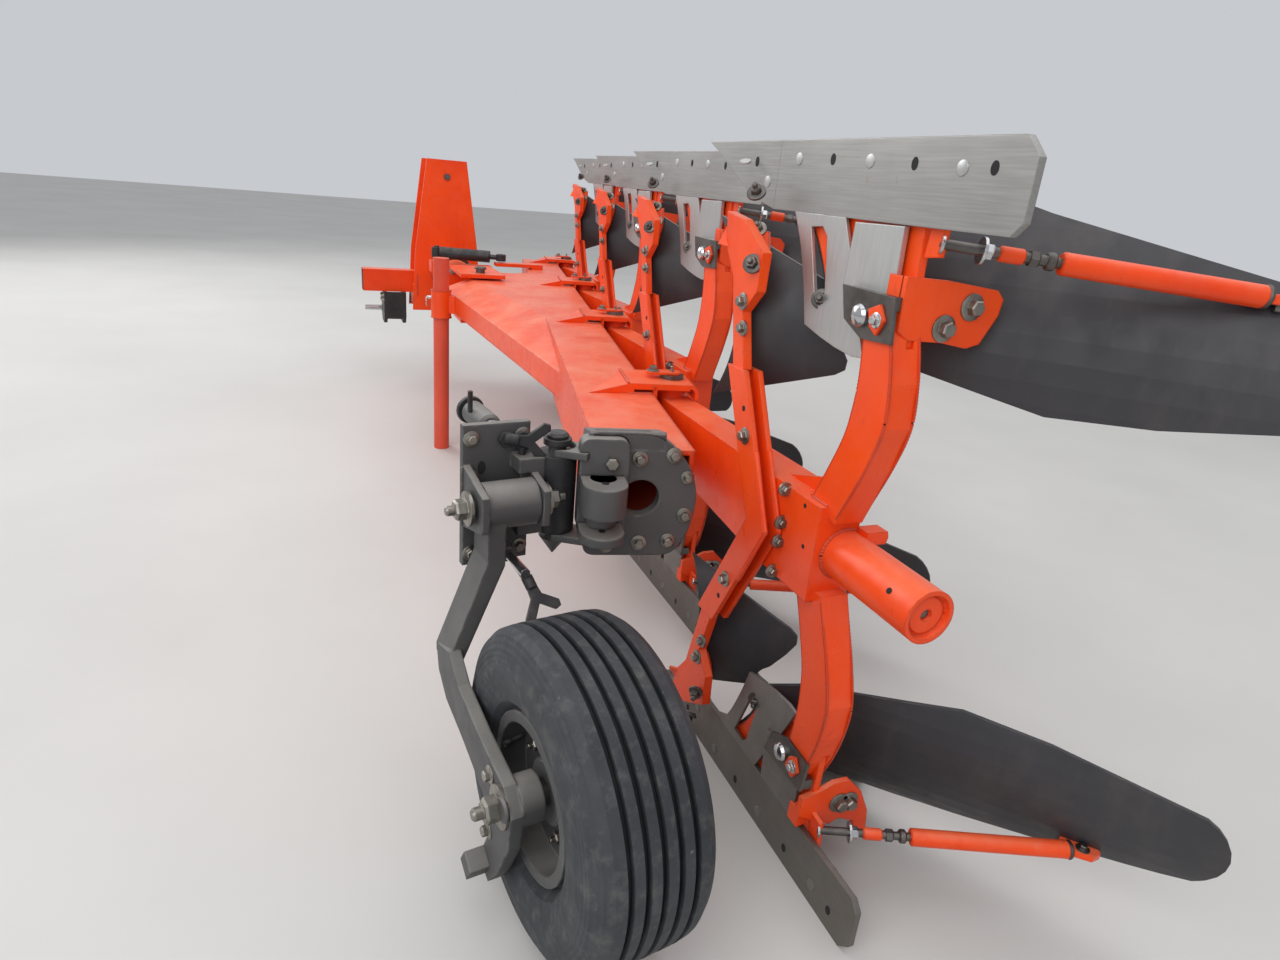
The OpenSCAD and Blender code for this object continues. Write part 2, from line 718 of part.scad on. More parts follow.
module rear_tube() {
    color("orangered") at_station(stations) translate([-stub_left, -block_back - block_l / 2 - slip, mid_z])
        rotate([90, 0, 0]) difference() {
            cylinder(h = stub_l, r = stub_d / 2);
            translate([0, 0, stub_l - stub_inset]) cylinder(h = stub_l, r = stub_d / 2 - stub_wall);
        }
}

// Turned to the share: X along its edge to the wing, Y square to it and forward
module along_share() {
    translate([-land_x, -seam_back + share_w / sin(share_angle), 0])
        rotate([0, 0, -90 + share_angle]) children();
}

// Keeps what lies to the right of the landside plane
module right_of_land(x) {
    intersection() {
        children();
        translate([x, -2500, -10]) cube([2500, 3500, 1200]);
    }
}

module share() {
    blade = [[0, 0], [-share_w, share_w * tan(share_rise)],
        [-share_w, share_w * tan(share_rise) - share_t], [-share_t * 2, 0]];
    heel = -seam_back + slip;
    tip = -seam_back + point_l - 80;
    right_of_land(-land_x) along_share() translate([-200, 0, 0]) rotate([90, 0, 90])
        linear_extrude(share_l + 200) polygon(blade);
    side_plate([[heel, 0], [tip, 0], [tip - 60, 26], [tip - 150, 72], [tip - 250, 118], [heel, landside_h]],
        -land_x - landside_t, landside_t + 2);
    side_plate([[tip - 200, 0], [tip, 0], [tip - 70, point_t], [tip - 200, point_t + 30]],
        -land_x, point_w - landside_t);
}

// The mouldboard is cut from a drum that lies along the share's edge
board_foot = share_w * tan(share_rise) + 2;
drum_y = -share_w - 2 + board_r * sin(board_start);
drum_z = board_foot + board_r * cos(board_start);

module board_drum(r) {
    along_share() translate([-500, drum_y, drum_z]) rotate([0, 90, 0]) cylinder(h = board_l + 700, r = r);
}

module mouldboard() {
    tail_r = 105;
    peak = board_l - 530;
    shin = 345;
    outline = concat([[-400, board_foot], [share_l, board_foot], [share_l + 110, board_foot + 30],
        [board_l - 90, 205]], arc([board_l - tail_r, 300], tail_r, -50, 65),
        [[peak + 180, board_top - 12], [peak, board_top], [shin + 90, board_top - 66],
        [shin + 10, board_top - 98], [shin - 10, board_top - 112], [-400, board_top - 140]]);
    right_of_land(-land_x + 4) intersection() {
        difference() {
            board_drum(board_r + board_t);
            board_drum(board_r);
        }
        along_share() translate([0, drum_y, 0]) rotate([90, 0, 0])
            linear_extrude(2 * board_r) polygon(outline);
    }
}

module landside() {
    back = -seam_back - landside_l;
    side_plate([[back, 30], [back + 30, 0], [-seam_back, 0], [-seam_back, landside_h],
        [back + 20, landside_h], [back, landside_h - 20]], -land_x - landside_t, landside_t - slip);
}

frog_t = 16;

// The frog stays behind the mouldboard's drum and the share's blade
module frog() {
    difference() {
        side_plate([[-1020, 20], [-560, 20], [-560, 150], [-700, 345], [-1030, 345]], -land_x, frog_t);
        board_drum(board_r + board_t + slip);
        along_share() translate([-500, -share_w - 4, -20]) cube([1500, 600, 200]);
    }
}

skim_x0 = -block_left - block_w / 2 - arm_d - slip;

module skimmer_arm() {
    y0 = -790;
    y1 = y0 + arm_lean;
    h = arm_w / 2;
    outline = [[y0 - h, 0], [y1 - h, arm_reach], [y1 + h, arm_reach], [y0 + h, 0],
        [y1 + h, -arm_reach], [y1 - h, -arm_reach]];
    stalk = [[y1 - 22, arm_reach - 1], [y1 + 14, 430], [y1 - 36, 480], [y1 - 40, 560], [y1 + 60, 620],
        [y1 + 140, 632], [y1 + 126, 560], [y1 + 78, 500], [y1 + 26, arm_reach - 1]];
    translate([0, 0, mid_z]) difference() {
        side_plate(outline, skim_x0, arm_d);
        translate([0, arm_t + 32 - arm_w, 0]) side_plate(outline, skim_x0 + arm_t, arm_d - 2 * arm_t);
    }
    for (side = [0, 1]) translate([0, 0, mid_z]) mirror([0, 0, side]) side_plate(stalk, skim_x0 + 6, 22);
}

module skimmer() {
    cy = skim_r * sin(30);
    cz = skim_z + skim_r * cos(30);
    x0 = skim_x0 + 28 + slip;
    intersection() {
        translate([x0, -480, 0]) rotate([0, 0, -90 + share_angle]) intersection() {
            translate([-300, cy, cz]) rotate([0, 90, 0]) difference() {
                cylinder(h = 760, r = skim_r + 8);
                translate([0, 0, -1]) cylinder(h = 762, r = skim_r);
            }
            translate([0, cy, 0]) rotate([90, 0, 0]) linear_extrude(2 * skim_r)
                polygon([[-300, skim_z], [260, skim_z], [400, skim_z + 60], [420, skim_z + 150],
                    [360, skim_z + 240], [-300, skim_z + 240]]);
        }
        translate([x0, -2500, 0]) cube([2000, 3000, 1000]);
    }
}

main_beam();
hinge_brackets();
hinge_pins();
end_plate();
wheel_spool();
wheel_bracket();
wheel_arm();
wheel_axle();
wheel_rim();
wheel_tyre();
depth_spindles();
stand_sleeve();
stand_leg();
swing_frame();
swing_pin();
turnover_shaft();
headstock_frame();
tower_plates();
link_plates();
link_pins();
turnover_crank();
turnover_barrel();
turnover_rod();
turnover_pins();
width_barrel();
width_rod();
width_pin();
width_lug();
rear_tube();
for (k = [1:stations]) {
    color("orangered") carrier(k);
    color("orangered") at_station(k) both_rows() frog();
    color([0.17, 0.17, 0.19]) at_station(k) both_rows() mouldboard();
    color([0.6, 0.6, 0.6]) at_station(k) both_rows() share();
    color([0.6, 0.6, 0.6]) at_station(k) both_rows() landside();
    color("orangered") at_station(k) skimmer_arm();
    color([0.17, 0.17, 0.19]) at_station(k) both_rows() skimmer();
}
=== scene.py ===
import json
import math
import bpy
import bmesh
from mathutils import Matrix, Vector


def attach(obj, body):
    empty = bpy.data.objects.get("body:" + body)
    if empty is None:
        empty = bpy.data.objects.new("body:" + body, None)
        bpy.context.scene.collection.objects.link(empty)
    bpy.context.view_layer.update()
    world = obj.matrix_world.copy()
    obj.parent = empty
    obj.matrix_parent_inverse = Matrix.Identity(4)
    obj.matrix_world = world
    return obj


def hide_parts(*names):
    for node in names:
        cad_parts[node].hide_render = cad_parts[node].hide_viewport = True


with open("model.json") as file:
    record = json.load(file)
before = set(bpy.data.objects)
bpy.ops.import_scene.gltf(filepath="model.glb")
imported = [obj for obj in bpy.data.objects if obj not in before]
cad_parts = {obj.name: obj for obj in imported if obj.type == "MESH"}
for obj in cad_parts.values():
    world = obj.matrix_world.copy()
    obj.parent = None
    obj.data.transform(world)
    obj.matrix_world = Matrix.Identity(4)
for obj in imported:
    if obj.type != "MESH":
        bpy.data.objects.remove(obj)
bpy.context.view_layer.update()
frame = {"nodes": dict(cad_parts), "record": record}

nodes = frame["nodes"]

# ---------------------------------------------------------------- the source's own spaces, in millimetres
MM = 0.001
LAST_PIN = (256.75, 1236.86)
MID = 785                      # the turnover axis over the furrow bottom
STATIONS = 4
FURROW, PITCH = 220, 1150
BEAM_ANGLE = math.asin(FURROW / PITCH)
STEP = math.sqrt(PITCH ** 2 - FURROW ** 2)
SWIVEL = (-501, -518)
TOE = math.radians(8.9)
SHARE_TURN = math.radians(-48)
ROWS = {"upper": 1, "lower": -1}
LEFT, RIGHT, BACK, FORWARD, UP, DOWN = (-1, 0, 0), (1, 0, 0), (0, -1, 0), (0, 1, 0), (0, 0, 1), (0, 0, -1)


def space(x=0, y=0, turn=0.0, row=1):
    """A space of the source: millimetres from the last hinge pin's foot, heights from the turnover axis."""
    place = Matrix.Translation((x - LAST_PIN[0], y - LAST_PIN[1], MID))
    return Matrix.Scale(MM, 4) @ place @ Matrix.Rotation(turn, 4, "Z") @ Matrix.Diagonal((1, 1, row, 1))


HEAD = space()
BEAM = space(turn=-BEAM_ANGLE)
WHEEL = space(*SWIVEL, TOE) @ Matrix.Translation((-SWIVEL[0], -SWIVEL[1], 0))


def station(k, row=1):
    return space((STATIONS - k) * FURROW, (STATIONS - k) * STEP, 0, row)


# ---------------------------------------------------------------- camera
CAM = (-1.24575, -3.38786, 1.459)
AZ, PITCH_DOWN, ROLL = math.radians(23.1), math.radians(20.449), math.radians(5.218)
SENSOR, FOCAL_PIXELS, FRAME_PIXELS = 36, 794.27, 1280


def place_camera():
    level = math.cos(PITCH_DOWN)
    fwd = Vector((math.sin(AZ) * level, math.cos(AZ) * level, -math.sin(PITCH_DOWN)))
    right = Vector((math.cos(AZ), -math.sin(AZ), 0))
    up = right.cross(fwd)
    r = right * math.cos(ROLL) + up * math.sin(ROLL)
    u = -right * math.sin(ROLL) + up * math.cos(ROLL)
    m = Matrix((r, u, -fwd)).transposed().to_4x4()
    m.translation = Vector(CAM)
    cam = bpy.data.cameras.new("photo_camera")
    cam.sensor_width = SENSOR
    cam.lens = SENSOR * FOCAL_PIXELS / FRAME_PIXELS
    cam.clip_end = 100
    obj = bpy.data.objects.new("photo_camera", cam)
    obj.matrix_world = m
    bpy.context.collection.objects.link(obj)
    bpy.context.scene.camera = obj


place_camera()
bpy.context.scene.view_settings.view_transform = "Standard"


# ---------------------------------------------------------------- materials
def srgb(r, g, b):
    return tuple(((v / 255 + 0.055) / 1.055) ** 2.4 if v > 10 else v / 255 / 12.92 for v in (r, g, b)) + (1,)


def tones(*colours):
    return [srgb(*c) for c in colours]


class Mat:
    """A small builder for node materials: coordinates and normals are the object's own, in metres."""

    def __init__(self, name):
        self.m = bpy.data.materials.new(name)
        self.m.use_nodes = True
        self.t = self.m.node_tree
        self.b = self.t.nodes["Principled BSDF"]
        tc = self.t.nodes.new("ShaderNodeTexCoord")
        self.co, self.no = tc.outputs["Object"], tc.outputs["Normal"]
        self.soft = None

    def node(self, kind, **kw):
        n = self.t.nodes.new(kind)
        for k, v in kw.items():
            if k in n.inputs:
                n.inputs[k].default_value = v
            else:
                setattr(n, k, v)
        return n

    def link(self, a, b):
        self.t.links.new(a, b)

    def feed(self, sock, v):
        if hasattr(v, "is_output"):
            self.link(v, sock)
        else:
            sock.default_value = v

    def turned(self, turn=(0, 0, 0), scale=(1, 1, 1)):
        """Coordinates turned, then stretched."""
        a = self.node("ShaderNodeVectorRotate", rotation_type="EULER_XYZ")
        self.link(self.co, a.inputs["Vector"])
        a.inputs["Rotation"].default_value = turn
        b = self.node("ShaderNodeMapping")
        b.inputs["Scale"].default_value = scale
        self.link(a.outputs[0], b.inputs["Vector"])
        return b.outputs[0]

    def noise(self, scale, detail=4, rough=0.55, stretch=(1, 1, 1), dist=0.0, turn=(0, 0, 0)):
        n = self.node("ShaderNodeTexNoise", Scale=scale, Detail=detail, Roughness=rough, Distortion=dist)
        self.link(self.turned(turn, stretch), n.inputs["Vector"])
        return n.outputs["Fac"]

    def ramp(self, fac, start, end):
        """From one (place, value or colour) to another."""
        r = self.node("ShaderNodeValToRGB")
        for stop, (p, c) in zip(r.color_ramp.elements, (start, end)):
            stop.position = p
            stop.color = c if isinstance(c, tuple) else (c, c, c, 1)
        self.link(fac, r.inputs["Fac"])
        return r.outputs["Color"]

    def mix(self, fac, a, b):
        n = self.node("ShaderNodeMix", data_type="RGBA", blend_type="MIX")
        for sock, v in ((n.inputs[0], fac), (n.inputs[6], a), (n.inputs[7], b)):
            self.feed(sock, v)
        return n.outputs[2]

    def math(self, op, a, b=0.0, clamp=False):
        n = self.node("ShaderNodeMath", operation=op, use_clamp=clamp)
        self.feed(n.inputs[0], a)
        self.feed(n.inputs[1], b)
        return n.outputs[0]

    def times(self, a, b):
        return self.math("MULTIPLY", a, b)

    def dot(self, v, d):
        n = self.node("ShaderNodeVectorMath", operation="DOT_PRODUCT")
        self.link(v, n.inputs[0])
        self.feed(n.inputs[1], d)
        return n.outputs["Value"]

    def soften(self, radius):
        """Edges rounded off in the shading."""
        n = self.node("ShaderNodeBevel", Radius=radius, samples=4)
        self.soft = n.outputs["Normal"]
        return self.soft

    def edges(self, strength=6.0):
        """1 on sharp edges, 0 on flats: how far the softened normal leans from the true one."""
        true = self.node("ShaderNodeNewGeometry").outputs["True Normal"]
        return self.math("MULTIPLY", self.math("SUBTRACT", 1.0, self.dot(self.soft, true)), strength, True)

    def up(self):
        return self.dot(self.no, (0, 0, 1))

    def bump(self, fac, strength, distance):
        n = self.node("ShaderNodeBump", Strength=strength, Distance=distance)
        self.link(fac, n.inputs["Height"])
        if self.soft:
            self.link(self.soft, n.inputs["Normal"])
        self.link(n.outputs[0], self.b.inputs["Normal"])

    def set(self, color=None, rough=None, metal=None, **kw):
        for name, v in (("Base Color", color), ("Roughness", rough), ("Metallic", metal)):
            if v is not None:
                self.feed(self.b.inputs[name], v)
        for k, v in kw.items():
            self.b.inputs[k].default_value = v
        return self.m


RUST = srgb(104, 62, 40)
DARK_STEEL = srgb(70, 66, 63)
DUST = srgb(178, 168, 156)
PINK = srgb(228, 136, 110)


def painted(name, base, deep, faded, dust=DUST, dusty=0.22, wear=0.45, rough=0.34, soft=0.005):
    """Gloss paint: clouded, paler and dusty on top, chipped along edges, scratched."""
    m = Mat(name)
    base, deep, faded = tones(base, deep, faded)
    m.soften(soft)
    col = m.mix(m.ramp(m.noise(2.1, 3), (0.35, 0.0), (0.72, 1.0)), base, deep)
    top = m.ramp(m.up(), (0.35, 0.0), (0.95, 1.0))
    cloud = m.ramp(m.noise(5.5, 5, 0.6), (0.38, 0.25), (0.68, 1.0))
    col = m.mix(m.times(top, cloud), col, faded)
    run = m.ramp(m.noise(9, 4, 0.6, (3.5, 3.5, 0.35)), (0.52, 0.0), (0.74, 0.28))
    col = m.mix(run, col, deep)
    settled = m.ramp(m.noise(17, 6, 0.7), (0.42, 0.0), (0.75, dusty))
    dirt = m.times(m.ramp(m.up(), (0.0, 0.25), (0.9, 1.0)), settled)
    col = m.mix(dirt, col, dust)
    edge = m.times(m.edges(5.0), m.ramp(m.noise(38, 5, 0.7), (0.50, 0.0), (0.60, 1.0)))
    speck = m.ramp(m.noise(90, 5, 0.75), (0.68, 0.0), (0.72, 0.8))
    scratch = m.ramp(m.noise(60, 3, 0.5, (0.12, 1, 1), 0.6, (0.4, 0.9, 0.3)), (0.70, 0.0), (0.735, 0.5))
    bare = m.math("MULTIPLY", m.math("MAXIMUM", edge, m.math("MAXIMUM", speck, scratch)), wear, True)
    col = m.mix(bare, col, DARK_STEEL)
    r = m.ramp(m.noise(26, 4), (0.3, rough - 0.08), (0.8, rough + 0.14))
    r = m.mix(m.math("MAXIMUM", dirt, bare), r, (0.62, 0.62, 0.62, 1))
    m.bump(m.math("SUBTRACT", m.times(m.noise(210, 3, 0.6), 0.35), bare), 0.16, 0.0005)
    return m.set(col, r, 0.0, **{"Specular IOR Level": 0.32, "Coat Weight": 0.06, "Coat Roughness": 0.2})


def cast_iron(name, base, deep, faded):
    """Sand-cast iron under dark paint: grainy, dusty on top, rubbed bright at the edges."""
    m = Mat(name)
    base, deep, faded = tones(base, deep, faded)
    m.soften(0.007)
    col = m.mix(m.ramp(m.noise(3.2, 4), (0.35, 0.0), (0.7, 1.0)), base, deep)
    dusty_top = m.times(m.ramp(m.up(), (0.2, 0.0), (0.9, 1.0)), m.ramp(m.noise(7, 5), (0.3, 0.35), (0.7, 0.95)))
    col = m.mix(dusty_top, col, faded)
    col = m.mix(m.ramp(m.noise(24, 6, 0.7), (0.60, 0.0), (0.76, 0.4)), col, srgb(98, 82, 70))
    rub = m.times(m.edges(4.0), m.ramp(m.noise(30, 4, 0.6), (0.42, 0.0), (0.6, 0.6)))
    col = m.mix(rub, col, srgb(142, 141, 138))
    grain = m.math("ADD", m.times(m.noise(420, 3, 0.7), 0.6), m.noise(120, 4, 0.6))
    m.bump(grain, 0.28, 0.0009)
    return m.set(col, m.ramp(m.noise(20, 4), (0.3, 0.48), (0.75, 0.68)), 0.0)


def rubbed_steel(name, base, deep, bright, along, rust=0.35):
    """Soil-rubbed steel: fine streaks along the travel, soft clouds, painted shade low down, rust freckles."""
    m = Mat(name)
    base, deep, bright = tones(base, deep, bright)
    m.soften(0.003)
    col = m.mix(m.ramp(m.noise(2.4, 4, 0.55), (0.32, 0.0), (0.72, 0.55)), base, deep)
    streak = m.noise(240, 4, 0.6, along)
    col = m.mix(m.ramp(streak, (0.40, 0.0), (0.70, 0.35)), col, bright)
    edge = m.times(m.edges(3.0), m.ramp(m.noise(22, 4, 0.6), (0.4, 0.1), (0.6, 0.7)))
    col = m.mix(edge, col, deep)
    # painted shade: the colour darkens below 0.75 m, most below 0.45 m, patchy by noise, for the lower row's shadow
    height = m.dot(m.co, (0, 0, 1))
    shade_mottle = m.ramp(m.noise(6, 5, 0.65), (0.3, 0.75), (0.7, 1.0))
    low = m.times(m.ramp(height, (0.45, 0.8), (0.75, 0.0)), shade_mottle)
    col = m.mix(low, col, srgb(96, 88, 80))
    freckle = m.ramp(m.noise(38, 6, 0.7), (0.64, 0.0), (0.72, rust))
    col = m.mix(freckle, col, RUST)
    r = m.ramp(m.noise(7, 4), (0.3, 0.34), (0.75, 0.46))
    r = m.mix(m.math("MAXIMUM", freckle, m.times(low, 0.5)), r, (0.75, 0.75, 0.75, 1))
    m.bump(m.math("ADD", m.times(streak, 0.3), m.times(m.noise(260, 2), 0.25)), 0.10, 0.0004)
    return m.set(col, r, m.ramp(freckle, (0.0, 0.8), (0.3, 0.2)))


def board_skin(name):
    """A mouldboard: black paint on its back, ground steel scratched by the earth on its working face."""
    m = Mat(name)
    m.soften(0.003)
    forward = (math.sin(-SHARE_TURN), math.cos(SHARE_TURN), 0)
    face = m.ramp(m.dot(m.no, forward), (0.12, 0.0), (0.16, 1.0))
    back = m.mix(m.ramp(m.noise(2.6, 4), (0.3, 0.0), (0.7, 1.0)), srgb(41, 41, 45), srgb(55, 54, 57))
    back = m.mix(m.ramp(m.noise(8, 6, 0.65, (1, 1, 0.4)), (0.5, 0.0), (0.8, 0.38)), back, srgb(96, 88, 82))
    edge = m.times(m.edges(4.0), m.ramp(m.noise(26, 4), (0.45, 0.0), (0.6, 0.8)))
    back = m.mix(edge, back, srgb(120, 117, 113))
    scratch = m.noise(150, 5, 0.65, (0.02, 1, 1), 0.2, (0, 0, -SHARE_TURN))
    front = m.mix(m.ramp(scratch, (0.38, 0.0), (0.66, 1.0)), srgb(136, 134, 131), srgb(172, 170, 166))
    front = m.mix(m.ramp(m.noise(3.2, 5, 0.6), (0.45, 0.0), (0.7, 0.6)), front, srgb(112, 98, 88))
    freckle = m.ramp(m.noise(34, 6, 0.75), (0.60, 0.0), (0.70, 0.5))
    front = m.mix(freckle, front, RUST)
    rough_back = m.ramp(m.noise(15, 4), (0.3, 0.42), (0.7, 0.6))
    rough_front = m.ramp(scratch, (0.3, 0.26), (0.75, 0.46))
    metal = m.times(face, m.ramp(freckle, (0.0, 0.9), (0.4, 0.3)))
    m.bump(m.math("ADD", m.times(scratch, face), m.times(m.noise(180, 3), 0.3)), 0.12, 0.0006)
    return m.set(m.mix(face, back, front), m.mix(face, rough_back, rough_front), metal)


def clean_steel(name, base, deep, rough, rust=0.2):
    """Plated or turned steel with a few stains."""
    m = Mat(name)
    base, deep = tones(base, deep)
    m.soften(0.0015)
    col = m.mix(m.ramp(m.noise(14, 5, 0.6), (0.35, 0.0), (0.7, 1.0)), base, deep)
    stain = m.ramp(m.noise(60, 6, 0.75), (0.58, 0.0), (0.72, rust))
    col = m.mix(stain, col, RUST)
    r = m.mix(stain, m.ramp(m.noise(40, 4), (0.3, rough - 0.06), (0.75, rough + 0.14)), (0.7, 0.7, 0.7, 1))
    m.bump(m.noise(300, 3, 0.6), 0.10, 0.0003)
    return m.set(col, r, m.ramp(stain, (0.0, 0.95), (0.25, 0.4)))


# the wheel's middle, in the wheel's space
WHEEL_X, HUB_Y, HUB_Z = -618, -937, 331 - MID
# radii and half widths in the tyre, in metres
GROOVE_BOTTOM, TREAD, RIBS_END, WALL_START, RING_INNER, BEAD_SEAT = 0.3175, 0.3275, 0.084, 0.108, 0.265, 0.178


def tyre_rubber(name):
    """Dusty rubber: rings on the sidewall, scuffed ribs, painted shade in the bottoms of the grooves."""
    m = Mat(name)
    middle = Matrix.Rotation(-TOE, 3, "Z") @ (WHEEL @ Vector((WHEEL_X, HUB_Y, HUB_Z)))
    shift = m.node("ShaderNodeVectorMath", operation="SUBTRACT")
    m.link(m.turned((0, 0, -TOE)), shift.inputs[0])
    shift.inputs[1].default_value = middle
    part = m.node("ShaderNodeSeparateXYZ")
    m.link(shift.outputs[0], part.inputs[0])
    x, y, z = part.outputs
    radius = m.math("SQRT", m.math("ADD", m.times(y, y), m.times(z, z)))
    off = m.math("ABSOLUTE", x)
    side = m.ramp(off, (WALL_START - 0.004, 0.0), (WALL_START + 0.004, 1.0))
    on_tread = m.math("SUBTRACT", 1.0, m.ramp(off, (RIBS_END - 0.004, 0.0), (RIBS_END + 0.004, 1.0)))
    groove_shade = m.times(m.ramp(radius, (GROOVE_BOTTOM, 1.0), (TREAD, 0.0)), on_tread)
    col = m.mix(m.ramp(m.noise(7, 5, 0.6), (0.35, 0.0), (0.7, 1.0)), srgb(44, 46, 50), srgb(58, 60, 64))
    col = m.mix(m.ramp(m.noise(26, 6, 0.7), (0.5, 0.0), (0.72, 0.42)), col, srgb(108, 106, 100))
    scuff = m.ramp(m.noise(60, 5, 0.75), (0.64, 0.0), (0.72, 0.5))
    col = m.mix(scuff, col, srgb(132, 128, 120))
    # painted shade: the grooves' bottoms darkened to near black
    col = m.mix(m.times(groove_shade, 0.8), col, srgb(22, 24, 27))
    wall = m.times(side, m.ramp(radius, (RING_INNER - 0.003, 0.0), (RING_INNER + 0.003, 1.0)))
    rings = m.times(m.math("SINE", m.times(radius, 520.0)), wall)
    seat = m.ramp(m.math("ABSOLUTE", m.math("SUBTRACT", radius, BEAD_SEAT)), (0.0, 1.0), (0.0045, 0.0))
    height = m.math("ADD", m.times(rings, 0.5), m.times(seat, side))
    m.bump(m.math("ADD", height, m.times(m.noise(150, 5, 0.7), 0.3)), 0.5, 0.0022)
    return m.set(col, m.ramp(m.noise(30, 4), (0.3, 0.62), (0.75, 0.82)), 0.0)


MATS = {
    "orange_paint": painted("orange_paint", (244, 78, 14), (222, 56, 8), (240, 112, 72), PINK, 0.3),
    "faded_red_paint": painted("faded_red_paint", (222, 84, 58), (196, 66, 46), (232, 124, 100), rough=0.5),
    "grey_casting": cast_iron("grey_casting", (80, 79, 79), (66, 65, 65), (138, 134, 128)),
    "black_paint": painted("black_paint", (42, 42, 45), (31, 31, 33), (72, 70, 70), wear=0.3, rough=0.45),
    "black_steel": board_skin("black_steel"),
    "worn_steel": rubbed_steel("worn_steel", (166, 164, 160), (134, 131, 127), (190, 188, 185), (1, 0.03, 1)),
    "pin_steel": clean_steel("pin_steel", (116, 112, 108), (84, 80, 77), 0.42, 0.5),
    "bright_steel": clean_steel("bright_steel", (206, 206, 206), (176, 177, 180), 0.16, 0.15),
    "tyre_rubber": tyre_rubber("tyre_rubber"),
}
BEAM_PAINT = painted("beam_paint", (242, 78, 16), (220, 56, 10), (238, 124, 92), PINK, 0.45, soft=0.014)
ORANGE, BLACK, CAST = MATS["orange_paint"], MATS["black_paint"], MATS["grey_casting"]
STEEL, PIN, BRIGHT = MATS["worn_steel"], MATS["pin_steel"], MATS["bright_steel"]
WELD = painted("weld_seam", (214, 62, 20), (150, 50, 24), (222, 110, 78), wear=1.0, soft=0.001)
BOLT = clean_steel("zinc_bolts", (158, 154, 146), (112, 106, 98), 0.36, 0.6)
SHIN = rubbed_steel("shin_steel", (190, 190, 188), (160, 158, 155), (212, 212, 210), (1, 1, 0.05), 0.2)
# painted shade: a near-black stand-in for the dark inside of open holes, slots and bores
HOLE_SHADE = Mat("hole_shade").set(srgb(24, 22, 21), 0.8, 0.0)


def node_material(sub):
    if sub["node"] == "main_beam":
        return BEAM_PAINT
    return ORANGE if sub["node"].startswith("frogs") else MATS[sub["material_slot"]]


for sub in frame["record"]["subparts"]:
    data = nodes[sub["node"]].data
    data.materials.clear()
    data.materials.append(node_material(sub))


# ---------------------------------------------------------------- building in mesh code
def prism(points, start, end, axis="x", holes=()):
    """A plate: its outline, and its holes' outlines, drawn square to the axis, from start to end along it."""
    bm = bmesh.new()
    edges = []
    for loop in (points, *holes):
        vs = [bm.verts.new((a, b, 0)) for a, b in loop]
        edges += [bm.edges.new((vs[i], vs[(i + 1) % len(vs)])) for i in range(len(vs))]
    bmesh.ops.triangle_fill(bm, use_beauty=True, edges=edges)
    grown = bmesh.ops.extrude_face_region(bm, geom=bm.faces[:])["geom"]
    far = [v for v in grown if isinstance(v, bmesh.types.BMVert)]
    bmesh.ops.translate(bm, verts=far, vec=(0, 0, end - start))
    bmesh.ops.translate(bm, verts=bm.verts, vec=(0, 0, start))
    if axis == "y":
        for v in bm.verts:
            v.co = Vector((v.co.x, v.co.z, v.co.y))
    elif axis == "x":
        for v in bm.verts:
            v.co = Vector((v.co.z, v.co.x, v.co.y))
    return bm


def rounded(points, r, n=6):
    """An outline with its corners rounded off."""
    out = []
    for i, p in enumerate(points):
        a, b, c = Vector(points[i - 1]), Vector(p), Vector(points[(i + 1) % len(points)])
        cut_a, cut_c = min(r, (a - b).length * 0.45), min(r, (c - b).length * 0.45)
        start, end = b + (a - b).normalized() * cut_a, b + (c - b).normalized() * cut_c
        for j in range(n + 1):
            t = j / n
            out.append(tuple(start * (1 - t) ** 2 + b * 2 * t * (1 - t) + end * t * t))
    return out


def ring(centre, r, n=24, squash=1.0):
    """A round or oval outline."""
    turns = [2 * math.pi * i / n for i in range(n)]
    return [(centre[0] + r * math.cos(t), centre[1] + squash * r * math.sin(t)) for t in turns]


def hoop(centre, r, normal, n=20):
    """A closed path round a centre, square to an axis, in n steps."""
    out = []
    for i in range(n + 1):
        a, b = r * math.cos(2 * math.pi * i / n), r * math.sin(2 * math.pi * i / n)
        out.append(Vector(centre) + Vector({"x": (0, a, b), "y": (a, 0, b), "z": (a, b, 0)}[normal]))
    return out


def lathe(profile, at, along, n=24, turn=0.0):
    """Rings of (distance, radius) round the line from at along a direction, closed at both ends."""
    bm = bmesh.new()
    rot = Vector(along).normalized().to_track_quat("Z", "Y").to_matrix()
    turns = [turn + 2 * math.pi * i / n for i in range(n)]
    rings = []
    for d, r in profile:
        spots = [(0, 0, d)] if r <= 0 else [(r * math.cos(t), r * math.sin(t), d) for t in turns]
        rings.append([bm.verts.new(Vector(at) + rot @ Vector(p)) for p in spots])
    for a, b in zip(rings, rings[1:]):
        for i in range(n):
            j = (i + 1) % n
            quad = [a[i % len(a)], a[j % len(a)], b[j % len(b)], b[i % len(b)]]
            quad = [v for k, v in enumerate(quad) if v not in quad[:k]]
            if len(quad) > 2:
                bm.faces.new(quad)
    for end in (rings[0], rings[-1]):
        if len(end) > 2:
            bm.faces.new(end)
    return bm


def rod(a, b, r):
    """A round bar from a to b with chamfered ends."""
    a, b = Vector(a), Vector(b)
    l = (b - a).length
    c = min(r * 0.25, 3)
    return lathe([(0, 0), (0, r - c), (c, r), (l - c, r), (l, r - c), (l, 0)], a, b - a, 20)


def slice_of_bar(at, along, r, h, n=24):
    """A plain round slice, for a plug, a cap or a hole's dark bottom."""
    return lathe([(0, 0), (0, r), (h, r), (h, 0)], at, along, n)


